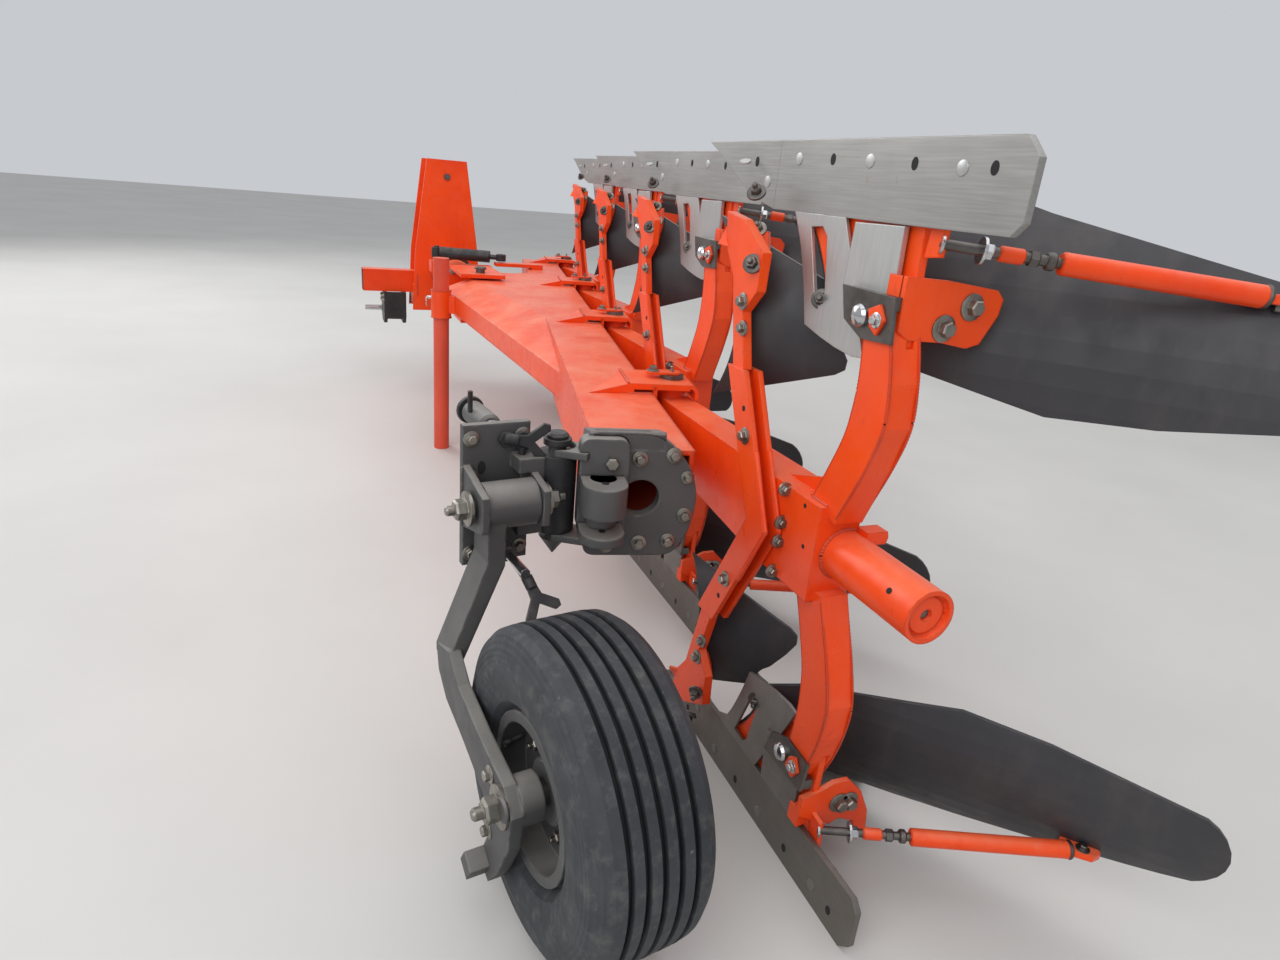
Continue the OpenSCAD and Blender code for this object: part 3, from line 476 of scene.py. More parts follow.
def bolt(at, out, s=17, turn=0.0, washer=True):
    """A hexagon head with a washer: s is the head's width across its flats, in millimetres."""
    out = Vector(out).normalized()
    parts = []
    base = Vector(at)
    if washer:
        flat, wide = s * 0.16, s * 0.95
        parts.append(lathe([(-2, 0), (-2, wide), (s * 0.13, wide), (flat, s * 0.9), (flat, 0)], base, out))
        base = base + out * flat
    r = s / math.sqrt(3)
    head = [(-1, 0), (-1, r), (s * 0.5, r), (s * 0.62, r * 0.84), (s * 0.62, 0)]
    parts.append(lathe(head, base, out, 6, turn))
    return parts


def nut(at, out, s=17, turn=0.0):
    """A nut on the end of a stud."""
    out = Vector(out).normalized()
    stud = [(0, 0), (0, s * 0.28), (s * 0.45, s * 0.28), (s * 0.55, s * 0.2), (s * 0.55, 0)]
    return bolt(at, out, s, turn) + [lathe(stud, Vector(at) + out * s * 0.7, out, 14)]


def flush_bolt(at, out, r, recess, proud=0.4, n=20):
    """A countersunk head with its driving recess, almost level with the sheet."""
    head = [(-3, 0), (-3, r), (proud, r), (proud + 0.5, r - 2), (proud + 0.1, recess), (proud + 0.1, 0)]
    return lathe(head, at, out, n)


def bead(path, r, pitch=7.0, n=8):
    """A weld seam: a rippled cord along a path."""
    pts = [Vector(p) for p in path]
    turns = [2 * math.pi * k / n for k in range(n)]
    bm = bmesh.new()
    rings = []
    for a, b in zip(pts, pts[1:]):
        steps = max(2, round((b - a).length / pitch * 2))
        rot = (b - a).to_track_quat("Z", "Y").to_matrix()
        for i in range(steps):
            q = r * (1.0 if len(rings) % 2 else 0.74)
            c = a.lerp(b, i / steps)
            rings.append([bm.verts.new(c + rot @ Vector((q * math.cos(t), q * math.sin(t), 0))) for t in turns])
    for a, b in zip(rings, rings[1:]):
        for k in range(n):
            bm.faces.new((a[k], a[(k + 1) % n], b[(k + 1) % n], b[k]))
    bm.faces.new(rings[0])
    bm.faces.new(rings[-1])
    return bm


def wire(path, r):
    """A smooth round wire along a path."""
    return bead(path, r, 400)


def flattened(solids):
    for s in solids:
        if isinstance(s, (list, tuple)):
            yield from flattened(s)
        else:
            yield s


def piece(name, body, material, solids, where, slot=None, instead=()):
    """One piece of the scene from solids given in a space of the source. It rides on a body."""
    whole = bmesh.new()
    for bm in flattened(solids):
        bm.transform(where)
        bmesh.ops.recalc_face_normals(bm, faces=bm.faces)
        part = bpy.data.meshes.new("part")
        bm.to_mesh(part)
        bm.free()
        whole.from_mesh(part)
        bpy.data.meshes.remove(part)
    for f in whole.faces:
        f.smooth = True
    for e in whole.edges:
        e.smooth = len(e.link_faces) == 2 and e.calc_face_angle(0.0) < math.radians(32)
    obj = mesh_object(name, whole, material)
    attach(obj, body)
    if instead:
        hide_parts(*instead)
    return obj


def mesh_object(name, bm, material):
    me = bpy.data.meshes.new(name)
    bm.to_mesh(me)
    bm.free()
    me.materials.append(material)
    obj = bpy.data.objects.new(name, me)
    bpy.context.collection.objects.link(obj)
    return obj


def smooth_path(pts, n=6):
    """More points on a soft curve through the given ones."""
    p = [Vector(q) for q in pts]
    p = [2 * p[0] - p[1], *p, 2 * p[-1] - p[-2]]
    out = []
    for a, b, c, d in zip(p, p[1:], p[2:], p[3:]):
        for i in range(n):
            t = i / n
            square, cube = (2 * a - 5 * b + 4 * c - d) * t * t, (3 * b - a - 3 * c + d) * t ** 3
            out.append(0.5 * (2 * b + (c - a) * t + square + cube))
    return out + [p[-2]]


# ---------------------------------------------------------------- the stations
LEG_X, LEG_W = -34, 64
LEG_LEFT, LEG_RIGHT = LEG_X - LEG_W / 2, LEG_X + LEG_W / 2
# a leg's corners: distance behind the block's front and distance from the axis
LEG_BACK = [(127, 92), (181, 210), (209, 300), (203, 380), (183, 455), (161, 508)]
LEG_FRONT = [(33, 92), (74, 180), (107, 265), (117, 350), (111, 430), (99, 498)]
BLOCK_Y, BLOCK_X0, BLOCK_HALF = -851, -84, 105
BLOCK_DOTS = [(-896, 88), (-912, 4), (-790, 60)]
LAND = -44                     # the landside's face
# outlines in y and z, seen from the left
WEB = [(-742, 99), (-884, 96), (-928, 192), (-905, 150)]
SHIN_CURVE = [(-632, 646), (-672, 580), (-706, 500), (-730, 428)]
SHIN_REST = [(-790, 414), (-845, 404), (-905, 398), (-936, 402), (-905, 470), (-868, 545), (-836, 600),
             (-812, 646)]
SHIN_SLOT = [(-700, 620), (-742, 624), (-762, 606), (-772, 560), (-784, 500), (-776, 474), (-756, 474),
             (-738, 520)]
FROG_COVER = [(-853, 640), (-993, 643), (-997, 512), (-990, 505), (-846, 508)]
CLAMP = [(-880, 530), (-1034, 528), (-1044, 449), (-958, 444), (-900, 470)]
CLAMP_FILL = [(-884, 505), (-1030, 505), (-1030, 528), (-884, 528)]
CLAMP_PAD = [(-975, 500), (-1004, 512), (-1022, 486), (-1006, 458), (-985, 470)]
CLAMP_DOME, CLAMP_SCREW = (-952, 484), (-1003, 484)
# y, z and kind along the landside and its point: a bolt's round head or an open hole
LANDSIDE_MARKS = [(-443, 741, "hole"), (-500, 700, "bolt"), (-619, 748, "bolt"), (-741, 748, "hole"),
                  (-859, 746, "bolt"), (-982, 743, "hole"), (-1096, 738, "bolt"), (-1163, 739, "hole")]
# by row: the outline in x and z of the bracket behind the leg, and its bolts
BRACKET_BACK, BRACKET_FRONT = -1034, -1020
BACK_BRACKETS = {
    1: ([(-54, 470), (-30, 455), (44, 452), (104, 442), (134, 450), (164, 502), (168, 532), (150, 548), (44, 560),
         (-54, 564)], [(97, 517), (43, 478)]),
    -1: ([(-62, 600), (-60, 552), (-8, 540), (20, 528), (60, 528), (98, 566), (128, 628), (140, 712), (112, 706),
          (92, 650), (50, 632), (24, 642)], [(40, 584), (66, 586)]),
}
# the stay: its eye behind the frog, its plate there, and its end at the back of the mouldboard
STAY_EYE, STAY_END = Vector((-26, -1058, 622)), Vector((511, -1323, 582))
STAY_PLATE = [(-1030, 596), (-1066, 600), (-1072, 688), (-1050, 700), (-1036, 650)]
# its lug there: along the share from the stay's end, and off the board; the share's cosine and sine
LUG = [(-80, -3), (-2, -3), (0, 12), (-14, 30), (-62, 36), (-80, 12)]
LUG_LOW, LUG_HIGH, LUG_SCREW = 577, 592, (475, -1308.4)
SHARE_COS, SHARE_SIN = 0.669, 0.743
# the skimmer's folded arm: its sides in x, its back edge's foot, and how far that runs forward over its reach
ARM_X0, ARM_X1 = -130.3, -84.3
ARM_Y, ARM_RUN, ARM_REACH = -829, 169, 310
STALK_X = ARM_X0 + 6
ARM_BOLTS_SIDE = [(ARM_X0, -700, 176, 20), (STALK_X, -604, 452, 20), (STALK_X, -618, 396, 18)]
ARM_BOLTS_BACK = [(ARM_X1 - 5, -824, 96), (ARM_X1 - 5, -829, 22)]
ARM_HOLE = (-678, 232)


def adder(body, tag, at):
    """A short way to add the pieces that share a body, a tag and a space."""
    return lambda name, material, solids, slot: piece(f"{name}_{tag}", body, material, solids, at, slot)


def leg_edge(side, x):
    return smooth_path([(x, BLOCK_Y - back, z) for back, z in side])


def hole_shade_disc(centre, r, face, n=20, squash=1.0):
    """A thin disc on a face that looks left: painted shade where an open hole is."""
    return prism(ring(centre, r, n, squash), face - 0.6, face + 0.5)


def add_leg(add):
    """Weld seams along the leg's corners and round its root, and the gusset between the arm and the leg."""
    root = [(LEG_LEFT - 1, BLOCK_Y - 96, BLOCK_HALF), (LEG_LEFT - 1, BLOCK_Y - 38, BLOCK_HALF)]
    front = [(LEG_LEFT, BLOCK_Y - 36, BLOCK_HALF + 1), (LEG_RIGHT, BLOCK_Y - 36, BLOCK_HALF + 1)]
    seams = [bead(leg_edge(LEG_BACK, LEG_LEFT + 1), 3.4), bead(leg_edge(LEG_BACK, LEG_RIGHT - 1), 3.0),
             bead(leg_edge(LEG_FRONT, LEG_LEFT + 1), 2.2), bead(root, 5), bead(front, 5)]
    add("leg_seams", WELD, seams, "orange_paint")
    add("leg_web", ORANGE, [prism(WEB, LEG_X - 6, LEG_X + 6)], "orange_paint")


def add_frog(add):
    """The shin with its long hole, the plate over the frog, and the clamp that takes the leg's end."""
    curve = [(p.x, p.y) for p in smooth_path([(y, z, 0) for y, z in SHIN_CURVE], 4)]
    add("shin", SHIN, [prism(curve + SHIN_REST, LAND, LAND + 8, "x", [SHIN_SLOT])], "worn_steel")
    add("frog_cover", SHIN, [prism(FROG_COVER, LAND - 5, LAND + 6)], "worn_steel")
    clamp = [prism(CLAMP, LEG_LEFT - 7, LEG_LEFT - 0.5), prism(CLAMP_FILL, LEG_LEFT - 1, LAND + 4)]
    add("leg_clamp", PIN, clamp, "pin_steel")
    add("clamp_pad", ORANGE, [prism(CLAMP_PAD, LEG_LEFT - 13, LEG_LEFT - 6)], "orange_paint")
    dome = lathe([(0, 0), (0, 21), (7, 21), (13, 17), (17, 8), (18, 0)], (LEG_LEFT - 7, *CLAMP_DOME), LEFT)
    add("clamp_bolt", BRIGHT, [dome, bolt((LEG_LEFT - 13, *CLAMP_SCREW), LEFT, 15, 0.3)], "bright_steel")


def add_bracket(add, row):
    """The bracket behind the leg, with its bolts."""
    shape, bolts = BACK_BRACKETS[row]
    (low, high), inner, outer = (shape[0][1], shape[-1][1]), -54, -20
    foot = [(inner, low), (outer, low - 8), (outer, high - 6), (inner, high)]
    plates = [prism(shape, BRACKET_BACK, BRACKET_FRONT, "y"), prism(foot, BRACKET_FRONT - 2, -985, "y")]
    add("back_bracket", ORANGE, plates, "orange_paint")
    fixed = [[bolt((x, BRACKET_BACK, z), BACK, 26, 0.4 * i), rod((x, BRACKET_FRONT - 1, z), (x, -1004, z), 9)]
             for i, (x, z) in enumerate(bolts)]
    add("bracket_bolts", BOLT, fixed, "pin_steel")


def add_stay(add):
    """The adjustable stay from the frog's heel to the mouldboard's tail: parts at shares of its length."""
    run = STAY_END - STAY_EYE

    def at(share):
        return STAY_EYE.lerp(STAY_END, share)

    x, y, c, s = STAY_END.x, STAY_END.y, SHARE_COS, SHARE_SIN
    lug = [(x + c * u - s * v, y - s * u - c * v) for u, v in LUG]
    add("stay_tube", ORANGE, [rod(at(0.335), at(0.89), 19), rod(at(0.165), at(0.235), 13),
                              prism(lug, LUG_LOW, LUG_HIGH, "z"), prism(STAY_PLATE, -28, -16)], "orange_paint")
    add("stay_screw", PIN, [rod(at(0.0), at(0.4), 9), bolt(at(0.25), run, 24, 0.0, False),
                            rod(at(0.295), at(0.32), 15), rod(at(0.885), at(0.90), 20.5),
                            bolt((*LUG_SCREW, LUG_LOW), DOWN, 15)], "pin_steel")
    add("stay_nut", BRIGHT, [bolt(at(0.118), run, 24), slice_of_bar(at(0.01), -run, 17, 5, 20)], "bright_steel")


def add_marks(add):
    """Round heads along the landside, and painted shade discs in its open holes."""
    head = [(0, 0), (0, 13), (1.6, 12.4), (2.4, 9), (2.4, 0)]
    heads = [lathe(head, (LAND + 0.5, y, z), LEFT) for y, z, kind in LANDSIDE_MARKS if kind == "bolt"]
    add("landside_heads", SHIN, heads, "worn_steel")
    holes = [hole_shade_disc((y, z), 8, LAND, 20, 1.35) for y, z, kind in LANDSIDE_MARKS if kind == "hole"]
    add("landside_holes", HOLE_SHADE, holes, "worn_steel")


def add_arm(add):
    """The rolled edges that make the skimmer's arm a folded channel, its bolts, and a painted shade disc in its
    spare hole.
    """
    end_y, end_z = ARM_Y + ARM_RUN - 1, ARM_REACH - 2
    lips = [wire([(x, ARM_Y - 1, 0), (x, end_y, end_z)], 6) for x in (ARM_X0 + 6, ARM_X1 - 6)]
    add("arm_lips", ORANGE, lips, "orange_paint")
    set_bolts = [bolt((x, y, z), LEFT, s) for x, y, z, s in ARM_BOLTS_SIDE]
    add("arm_bolts", BOLT, set_bolts + [bolt(p, BACK, 17) for p in ARM_BOLTS_BACK], "pin_steel")
    add("arm_holes", HOLE_SHADE, [hole_shade_disc(ARM_HOLE, 6.5, ARM_X0, 16)], "orange_paint")


for k in range(1, STATIONS + 1):
    for row_name, row in ROWS.items():
        add = adder(f"station_{k}", f"{k}_{row_name}", station(k, row))
        add_leg(add)
        add_frog(add)
        add_bracket(add, row)
        add_stay(add)
        add_marks(add)
        add_arm(add)
    add = adder(f"station_{k}", k, station(k))
    # painted shade: dark discs in the block's small open holes
    add("block_holes", HOLE_SHADE, [hole_shade_disc(p, 5, BLOCK_X0, 14) for p in BLOCK_DOTS], "orange_paint")
    root = [(BLOCK_X0 - 0.5, -751, -100), (BLOCK_X0 - 0.5, -751, 100)]
    add("block_seam", WELD, [bead(root, 4)], "orange_paint")


# ---------------------------------------------------------------- bolts of the shares and mouldboards
SHARE_ANGLE, SHARE_RISE, SHARE_W = math.radians(42), math.radians(24), 150
SHARE_CORNER = (-30, -541 + SHARE_W / math.sin(SHARE_ANGLE), 0)
DRUM_Y, DRUM_Z, DRUM_R = 112.3, 395.2, 420
# countersunk bolts: of the mouldboard, along the share and height; of the share, along it and up its slope
BOARD_BOLTS = [(130, 110), (300, 110), (470, 110), (170, 250), (330, 300), (420, 190)]
SHARE_BOLTS = [(60, 55), (170, 55), (300, 55), (430, 55), (540, 55)]


def on_share(k, row):
    """Turned to the share: X along its edge, Y square to it and forward, heights from the furrow bottom up."""
    lift = Matrix.Translation((0, 0, MID)) @ Matrix.Diagonal((1, 1, -1, 1))
    return station(k, row) @ lift @ Matrix.Translation(SHARE_CORNER) @ Matrix.Rotation(SHARE_TURN, 4, "Z")


def on_drum(x, z, r):
    return Vector((x, DRUM_Y - math.sqrt(r * r - (z - DRUM_Z) ** 2), z))


for k in range(1, STATIONS + 1):
    for row_name, row in ROWS.items():
        flush, rear = [], []
        for x, z in BOARD_BOLTS:
            p = on_drum(x, z, DRUM_R)
            inward = (Vector((x, DRUM_Y, DRUM_Z)) - p).normalized()
            flush.append(flush_bolt(p, inward, 15, 5))
            rear += nut(on_drum(x, z, DRUM_R + 9), -inward, 22)
        slope = Vector((0, math.sin(SHARE_RISE), math.cos(SHARE_RISE)))
        for x, w in SHARE_BOLTS:
            down = SHARE_W - w + 10
            flush.append(flush_bolt((x, -down, down * math.tan(SHARE_RISE)), slope, 13, 4))
        add = adder(f"station_{k}", f"{k}_{row_name}", on_share(k, row))
        add("board_bolts", SHIN, flush, "worn_steel")
        add("board_nuts", PIN, rear, "pin_steel")

# ---------------------------------------------------------------- skimmers
SKIM_CORNER = (-105, -419, 0)
SKIM_R, SKIM_Y, SKIM_Z = 330, 238, 391.3
SKIM_EDGE, SKIM_HEIGHT, SKIM_COLUMNS = 620, 405, 16
SKIM_SHARE, BOARD_T, SHARE_T = 0.15, 7, 7
# share of the board's height over its edge, then reach and distance from the axis of the wing's end there
SKIM_ENDS = [(0.0, 300, 505), (0.08, 268, 482), (0.16, 284, 456), (0.24, 304, 438), (0.5, 340, 388),
             (0.75, 360, 354), (0.9, 358, 333), (1.0, 338, 319)]
SKIM_FROG = [(33, 604), (46, 614), (62, 619), (83, 617), (102, 597), (132, 597), (145, 563), (152, 538), (149, 488),
             (139, 451), (127, 468), (113, 498), (86, 530), (58, 556), (24, 560)]
SKIM_FROG_T = 10
SKIM_BOLTS = [(52, 594), (107, 586), (131, 541)]


def on_skimmer(k, row):
    """X along the skimmer's edge, Y square to it and forward, Z away from the turnover axis."""
    return station(k, row) @ Matrix.Translation(SKIM_CORNER) @ Matrix.Rotation(SHARE_TURN, 4, "Z")


def skim_y(z, r):
    return SKIM_Y - math.sqrt(r * r - (z - SKIM_Z) ** 2)


def skim_rows(low, high, steps):
    """Rows of a board between two shares of its height, each from the upright land edge to the wing's end."""
    rows = []
    for i in range(steps + 1):
        t = low + (high - low) * i / steps
        j = max(n for n, end in enumerate(SKIM_ENDS[:-1]) if end[0] <= t)
        (t0, x0, z0), (t1, x1, z1) = SKIM_ENDS[j], SKIM_ENDS[j + 1]
        f = (t - t0) / (t1 - t0)
        z_start = SKIM_EDGE - SKIM_HEIGHT * t
        start = Vector((-skim_y(z_start, SKIM_R) * math.tan(-SHARE_TURN), z_start))
        end = Vector((x0 + (x1 - x0) * f, z0 + (z1 - z0) * f))
        rows.append([start.lerp(end, c / SKIM_COLUMNS) for c in range(SKIM_COLUMNS + 1)])
    return rows


def curved_sheet(rows, r0, r1):
    """A closed sheet from rows of points laid on the skimmer's drum, between two radii."""
    bm = bmesh.new()
    a, b = [[[bm.verts.new((x, skim_y(z, r), z)) for x, z in row] for row in rows] for r in (r0, r1)]
    n, m = len(rows), len(rows[0])
    for side in (a, b):
        for i in range(n - 1):
            for j in range(m - 1):
                bm.faces.new((side[i][j], side[i][j + 1], side[i + 1][j + 1], side[i + 1][j]))
    rim = [(0, j) for j in range(m)] + [(i, m - 1) for i in range(1, n)]
    rim += [(n - 1, j) for j in range(m - 2, -1, -1)] + [(i, 0) for i in range(n - 2, 0, -1)]
    for (i, j), (k, l) in zip(rim, rim[1:] + rim[:1]):
        bm.faces.new((a[i][j], a[k][l], b[k][l], b[i][j]))
    return bm


for k in range(1, STATIONS + 1):
    boards = []
    for row_name, row in ROWS.items():
        at = on_skimmer(k, row)
        add = adder(f"station_{k}", f"{k}_{row_name}", at)
        board = curved_sheet(skim_rows(0.0, 1.0, 40), SKIM_R, SKIM_R + BOARD_T)
        board.transform(at)
        boards.append(board)
        share = curved_sheet(skim_rows(0.0, SKIM_SHARE, 5), SKIM_R - SHARE_T, SKIM_R - 0.5)
        add("skimmer_share", STEEL, [share], "worn_steel")
        frog = prism(SKIM_FROG, 0, SKIM_FROG_T, "y")
        for v in frog.verts:
            v.co.y = skim_y(v.co.z, SKIM_R + BOARD_T + 5 + v.co.y)
        add("skimmer_frog", ORANGE, [frog], "orange_paint")
        heads, flush = [], []
        for x, z in SKIM_BOLTS:
            p = Vector((x, skim_y(z, SKIM_R), z))
            out = (p - Vector((x, SKIM_Y, SKIM_Z))).normalized()
            heads += nut(p + out * (BOARD_T + SKIM_FROG_T + 6), out, 20)
            flush.append(flush_bolt(p, -out, 12, 4, 0.5, 18))
        add("skimmer_nuts", BOLT, heads, "pin_steel")
        add("skimmer_heads", SHIN, flush, "worn_steel")
    piece(f"skimmer_boards_{k}", f"station_{k}", MATS["black_steel"], boards, Matrix.Identity(4), "black_steel",
          (f"skimmers_{k}",))

# ---------------------------------------------------------------- rear tube
TUBE_X, TUBE_R = -12, 54
TUBE_ROOT = BLOCK_Y - 100
TUBE_END = TUBE_ROOT - 0.3 - 263
PLUG_SEAT, DISC_SEAT = TUBE_END + 24, TUBE_END + 15


def add_tube(name, material, solids, slot):
    piece(name, "station_4", material, solids, station(STATIONS), slot)


add_tube("tube_seam", WELD, [bead(hoop((TUBE_X, TUBE_ROOT - 2, 0), TUBE_R, "y", 24), 5)], "orange_paint")
plug = lathe([(0, 0), (0, 10), (9, 10), (10, 8), (10, 0)], (TUBE_X, PLUG_SEAT, 0), BACK, 20)
add_tube("tube_plug", PIN, [plug], "pin_steel")
dish = [(0, 12), (-6, 12), (-6, 36), (-2, 38), (-2, 44), (6, 44), (6, 12)]
dish_seam = bead(hoop((TUBE_X, TUBE_END + 12, 0), 44, "y", 24), 2.2)
add_tube("tube_disc", ORANGE, [lathe(dish, (TUBE_X, DISC_SEAT, 0), FORWARD, 40), dish_seam], "orange_paint")
# painted shade: a dark disc in a small hole in the tube
dot = slice_of_bar((TUBE_X - 46, TUBE_END + 62, 27), (-0.86, 0, 0.5), 6, 1, 16)
add_tube("tube_hole_shade", HOLE_SHADE, [dot], "orange_paint")
lug = [(12, 30), (62, 30), (66, 44), (62, 58), (12, 58)]
add_tube("rear_lug", ORANGE, [prism(lug, TUBE_ROOT - 34, TUBE_ROOT + 2, "y")], "orange_paint")

# ---------------------------------------------------------------- the casting on the beam's end
PLATE_Y, PLATE_T = -634.3, 34
PAD_Y = PLATE_Y - 26
HOLE, HOLE_R = (-199, -6), 45
HINGE, HINGE_R = (-294, -708), 50
EAR_ROOT, EAR_R, EAR_T = (-318, -640), 42, 16
FACE = [(-326, 148), (-168, 148), (-112, 108), (-76, 54), (-64, 0), (-68, -54), (-80, -102), (-112, -152),
        (-326, -152)]
PAD = [(-346, 142), (-236, 142), (-236, -86), (-346, -86)]
# the hood over the tongues, from the plate's face: y and height
HOOD = [(1, 110), (1, 147), (6, 152), (94, 132), (106, 122), (106, 101), (34, 101)]
# x, z, the face's y and the head's size
END_BOLTS = [(-276, 88, PAD_Y, 27), (-207, 90, PLATE_Y, 20), (-128, 100, PLATE_Y, 20), (-92, 47, PLATE_Y, 17),
             (-90, -48, PLATE_Y, 20), (-124, -114, PLATE_Y, 20), (-194, -119, PLATE_Y, 20),
             (-272, -126, PLATE_Y, 20)]


def end_casting():
    """The plate with its pad, two tongues round the hinge, a hood, and two ears that reach to the swivel."""
    sweep = [math.pi + i * math.pi / 16 for i in range(17)]
    tongue = [(HINGE[0] + HINGE_R * math.cos(a), HINGE[1] + HINGE_R * math.sin(a)) for a in sweep]
    tongue += [(HINGE[0] + HINGE_R, PLATE_Y + 4), (HINGE[0] - HINGE_R, PLATE_Y + 4)]
    pin = [(0, 30), (3, 33), (110, 33), (110, 30)]
    solids = [prism(rounded(FACE, 30), PLATE_Y, PLATE_Y + PLATE_T, "y", [ring(HOLE, HOLE_R, 40)]),
              prism(rounded(PAD, 26), PAD_Y, PLATE_Y + 20, "y"),
              prism(tongue, -14, 57, "z"), prism(tongue, -78, -57, "z"),
              prism([(PLATE_Y + y, z) for y, z in HOOD], -326, -150),
              lathe(pin, (HINGE[0], HINGE[1] + 34, 57), DOWN, 32)]
    spot = BEAM.inverted() @ HEAD @ Vector((*SWIVEL, 0))
    side = Vector((spot.x - EAR_ROOT[0], spot.y - EAR_ROOT[1], 0)).normalized().cross(Vector(UP))
    turn = math.atan2(side.y, side.x)
    sweep = [turn - i * math.pi / 14 for i in range(15)]
    ear = [(spot.x + EAR_R * math.cos(a), spot.y + EAR_R * math.sin(a)) for a in sweep]
    ear += [(EAR_ROOT[0] + s * side.x * 34, EAR_ROOT[1] + s * side.y * 34) for s in (-1, 1)]
    bore = ring((spot.x, spot.y), 20.5, 24)
    return solids + [prism(ear, z, z + EAR_T, "z", [bore]) for z in (94, -110)]


piece("end_casting", "beam", CAST, end_casting(), BEAM, "grey_casting", ("end_plate",))
heads = [bolt((x, y, z), BACK, w, 0.5 * i, i > 0) for i, (x, z, y, w) in enumerate(END_BOLTS)]
piece("end_plate_bolts", "beam", BOLT, heads, BEAM, "pin_steel")
# painted shade: dark discs at the hinge's ends, where its bore is open
bore_shades = [slice_of_bar((*HINGE, z), UP, 8, 1, 16) for z in (57, -57)]
piece("end_plate_bore_shades", "beam", HOLE_SHADE, bore_shades, BEAM, "grey_casting")

# ---------------------------------------------------------------- the hinges over the beam's edge
HOOD_TOP = 150
KEEPER = [(-70, -22), (14, -22), (26, -12), (26, 12), (14, 22), (-70, 22), (-78, 12), (-78, -12)]
GREASER = [(0, 0), (0, 7), (5, 7), (5, 4), (12, 4), (14, 5.5), (17, 3), (17, 0)]
# paths and radii of the welds round a hood
HOOD_SEAMS = [([(-145, -88, 130), (-145, 88, 130)], 4.5), ([(-68, -92, 113), (-68, -92, 128)], 4),
              ([(-145, -91, 101), (-70, -91, 101)], 4.5), ([(-145, 91, 101), (-70, 91, 101)], 4.5)]
for k in range(STATIONS):
    for row_name, row in ROWS.items():
        hinge = BEAM @ Matrix.Translation((0, k * PITCH, 0)) @ Matrix.Diagonal((1, 1, row, 1))
        add = adder("beam", f"{k + 1}_{row_name}", hinge)
        add("pin_keeper", ORANGE, [prism(KEEPER, HOOD_TOP - 7.5, HOOD_TOP, "z")], "orange_paint")
        caps = [bolt((-58, 0, HOOD_TOP), UP, 20, 0.2), lathe(GREASER, (0, 0, HOOD_TOP), UP, 16)]
        add("pin_bolt", BOLT, caps, "pin_steel")
        add("hood_seams", WELD, [bead(path, r) for path, r in HOOD_SEAMS], "orange_paint")

# ---------------------------------------------------------------- depth wheel
SPINDLE_X, SPINDLE_Z = -615, 125
BRACKET_Y = -490
FORK = [(-9, -9), (30, -13), (62, -44), (76, -42), (78, -30), (46, 0), (78, 30), (76, 42), (62, 44), (30, 13),
        (-9, 9)]
BRACKET_BOLTS = [(-692, 130), (-574, 130), (-692, -140), (-574, -140), (-692, 40), (-660, -150)]
# x on the bracket's face of its upright seams, and height of the seams to the spool
UPRIGHT_SEAMS, SPOOL_SEAMS = (-711, -693, -573, -555), (90, -90)
SHACKLE = (-580, -505)


def fork(at, ax, ay):
    """A forked handle: its prongs run along ax, spread along ay."""
    m = Matrix.Identity(4)
    ax, ay = Vector(ax).normalized(), Vector(ay).normalized()
    for i, col in enumerate((ax, ay, ax.cross(ay))):
        for j in range(3):
            m[j][i] = col[j]
    m.translation = Vector(at)
    bm = prism(FORK, -6, 6, "z")
    bm.transform(m)
    return [bm, rod(Vector(at) - ax * 20, Vector(at) + ax * 12, 13)]


def spindle(profile, y, along=1, n=24):
    """A turned part on the upper depth spindle."""
    return lathe(profile, (SPINDLE_X, y, SPINDLE_Z), (0, along, 0), n)


def add_mount(name, material, solids, slot):
    piece(name, "wheel_mount", material, solids, WHEEL, slot)


add_mount("depth_handles", BLACK, [
    fork((-604, -512, 128), (0.9, -0.25, -0.1), (0.1, 0, 1)),
    fork((-600, -622, -172), (0.25, -0.6, -0.75), (1, 0.2, 0.3)),
    spindle([(0, 0), (0, 33), (9, 35), (13, 33), (13, 0)], -268),
    rod((-640, -330, 140), (-640, -330, 192), 6),
    spindle([(0, 0), (0, 19), (16, 19), (16, 0)], BRACKET_Y + 0.5, -1, 6)], "black_paint")
add_mount("depth_barrel", CAST, [
    spindle([(0, 0), (0, 20), (6, 27), (30, 28), (120, 28), (128, 24), (128, 0)], -400),
    slice_of_bar((SPINDLE_X, BRACKET_Y + 1, -140), BACK, 18, 40, 20)], "grey_casting")
add_mount("depth_rings", BRIGHT, [
    spindle([(0, 0), (0, 17), (10, 19), (26, 19), (30, 15), (30, 0)], -438),
    rod((-612, -560, -146), (-604, -618, -168), 9)], "bright_steel")
heads = [bolt((x, BRACKET_Y, z), BACK, 19, 0.3 * i) for i, (x, z) in enumerate(BRACKET_BOLTS)]
ends = [nut((x, -560, 0), (out, 0, 0), 40) for x, out in ((-721, -1), (-545, 1))]
add_mount("bracket_bolts_wheel", BOLT, heads + ends, "pin_steel")
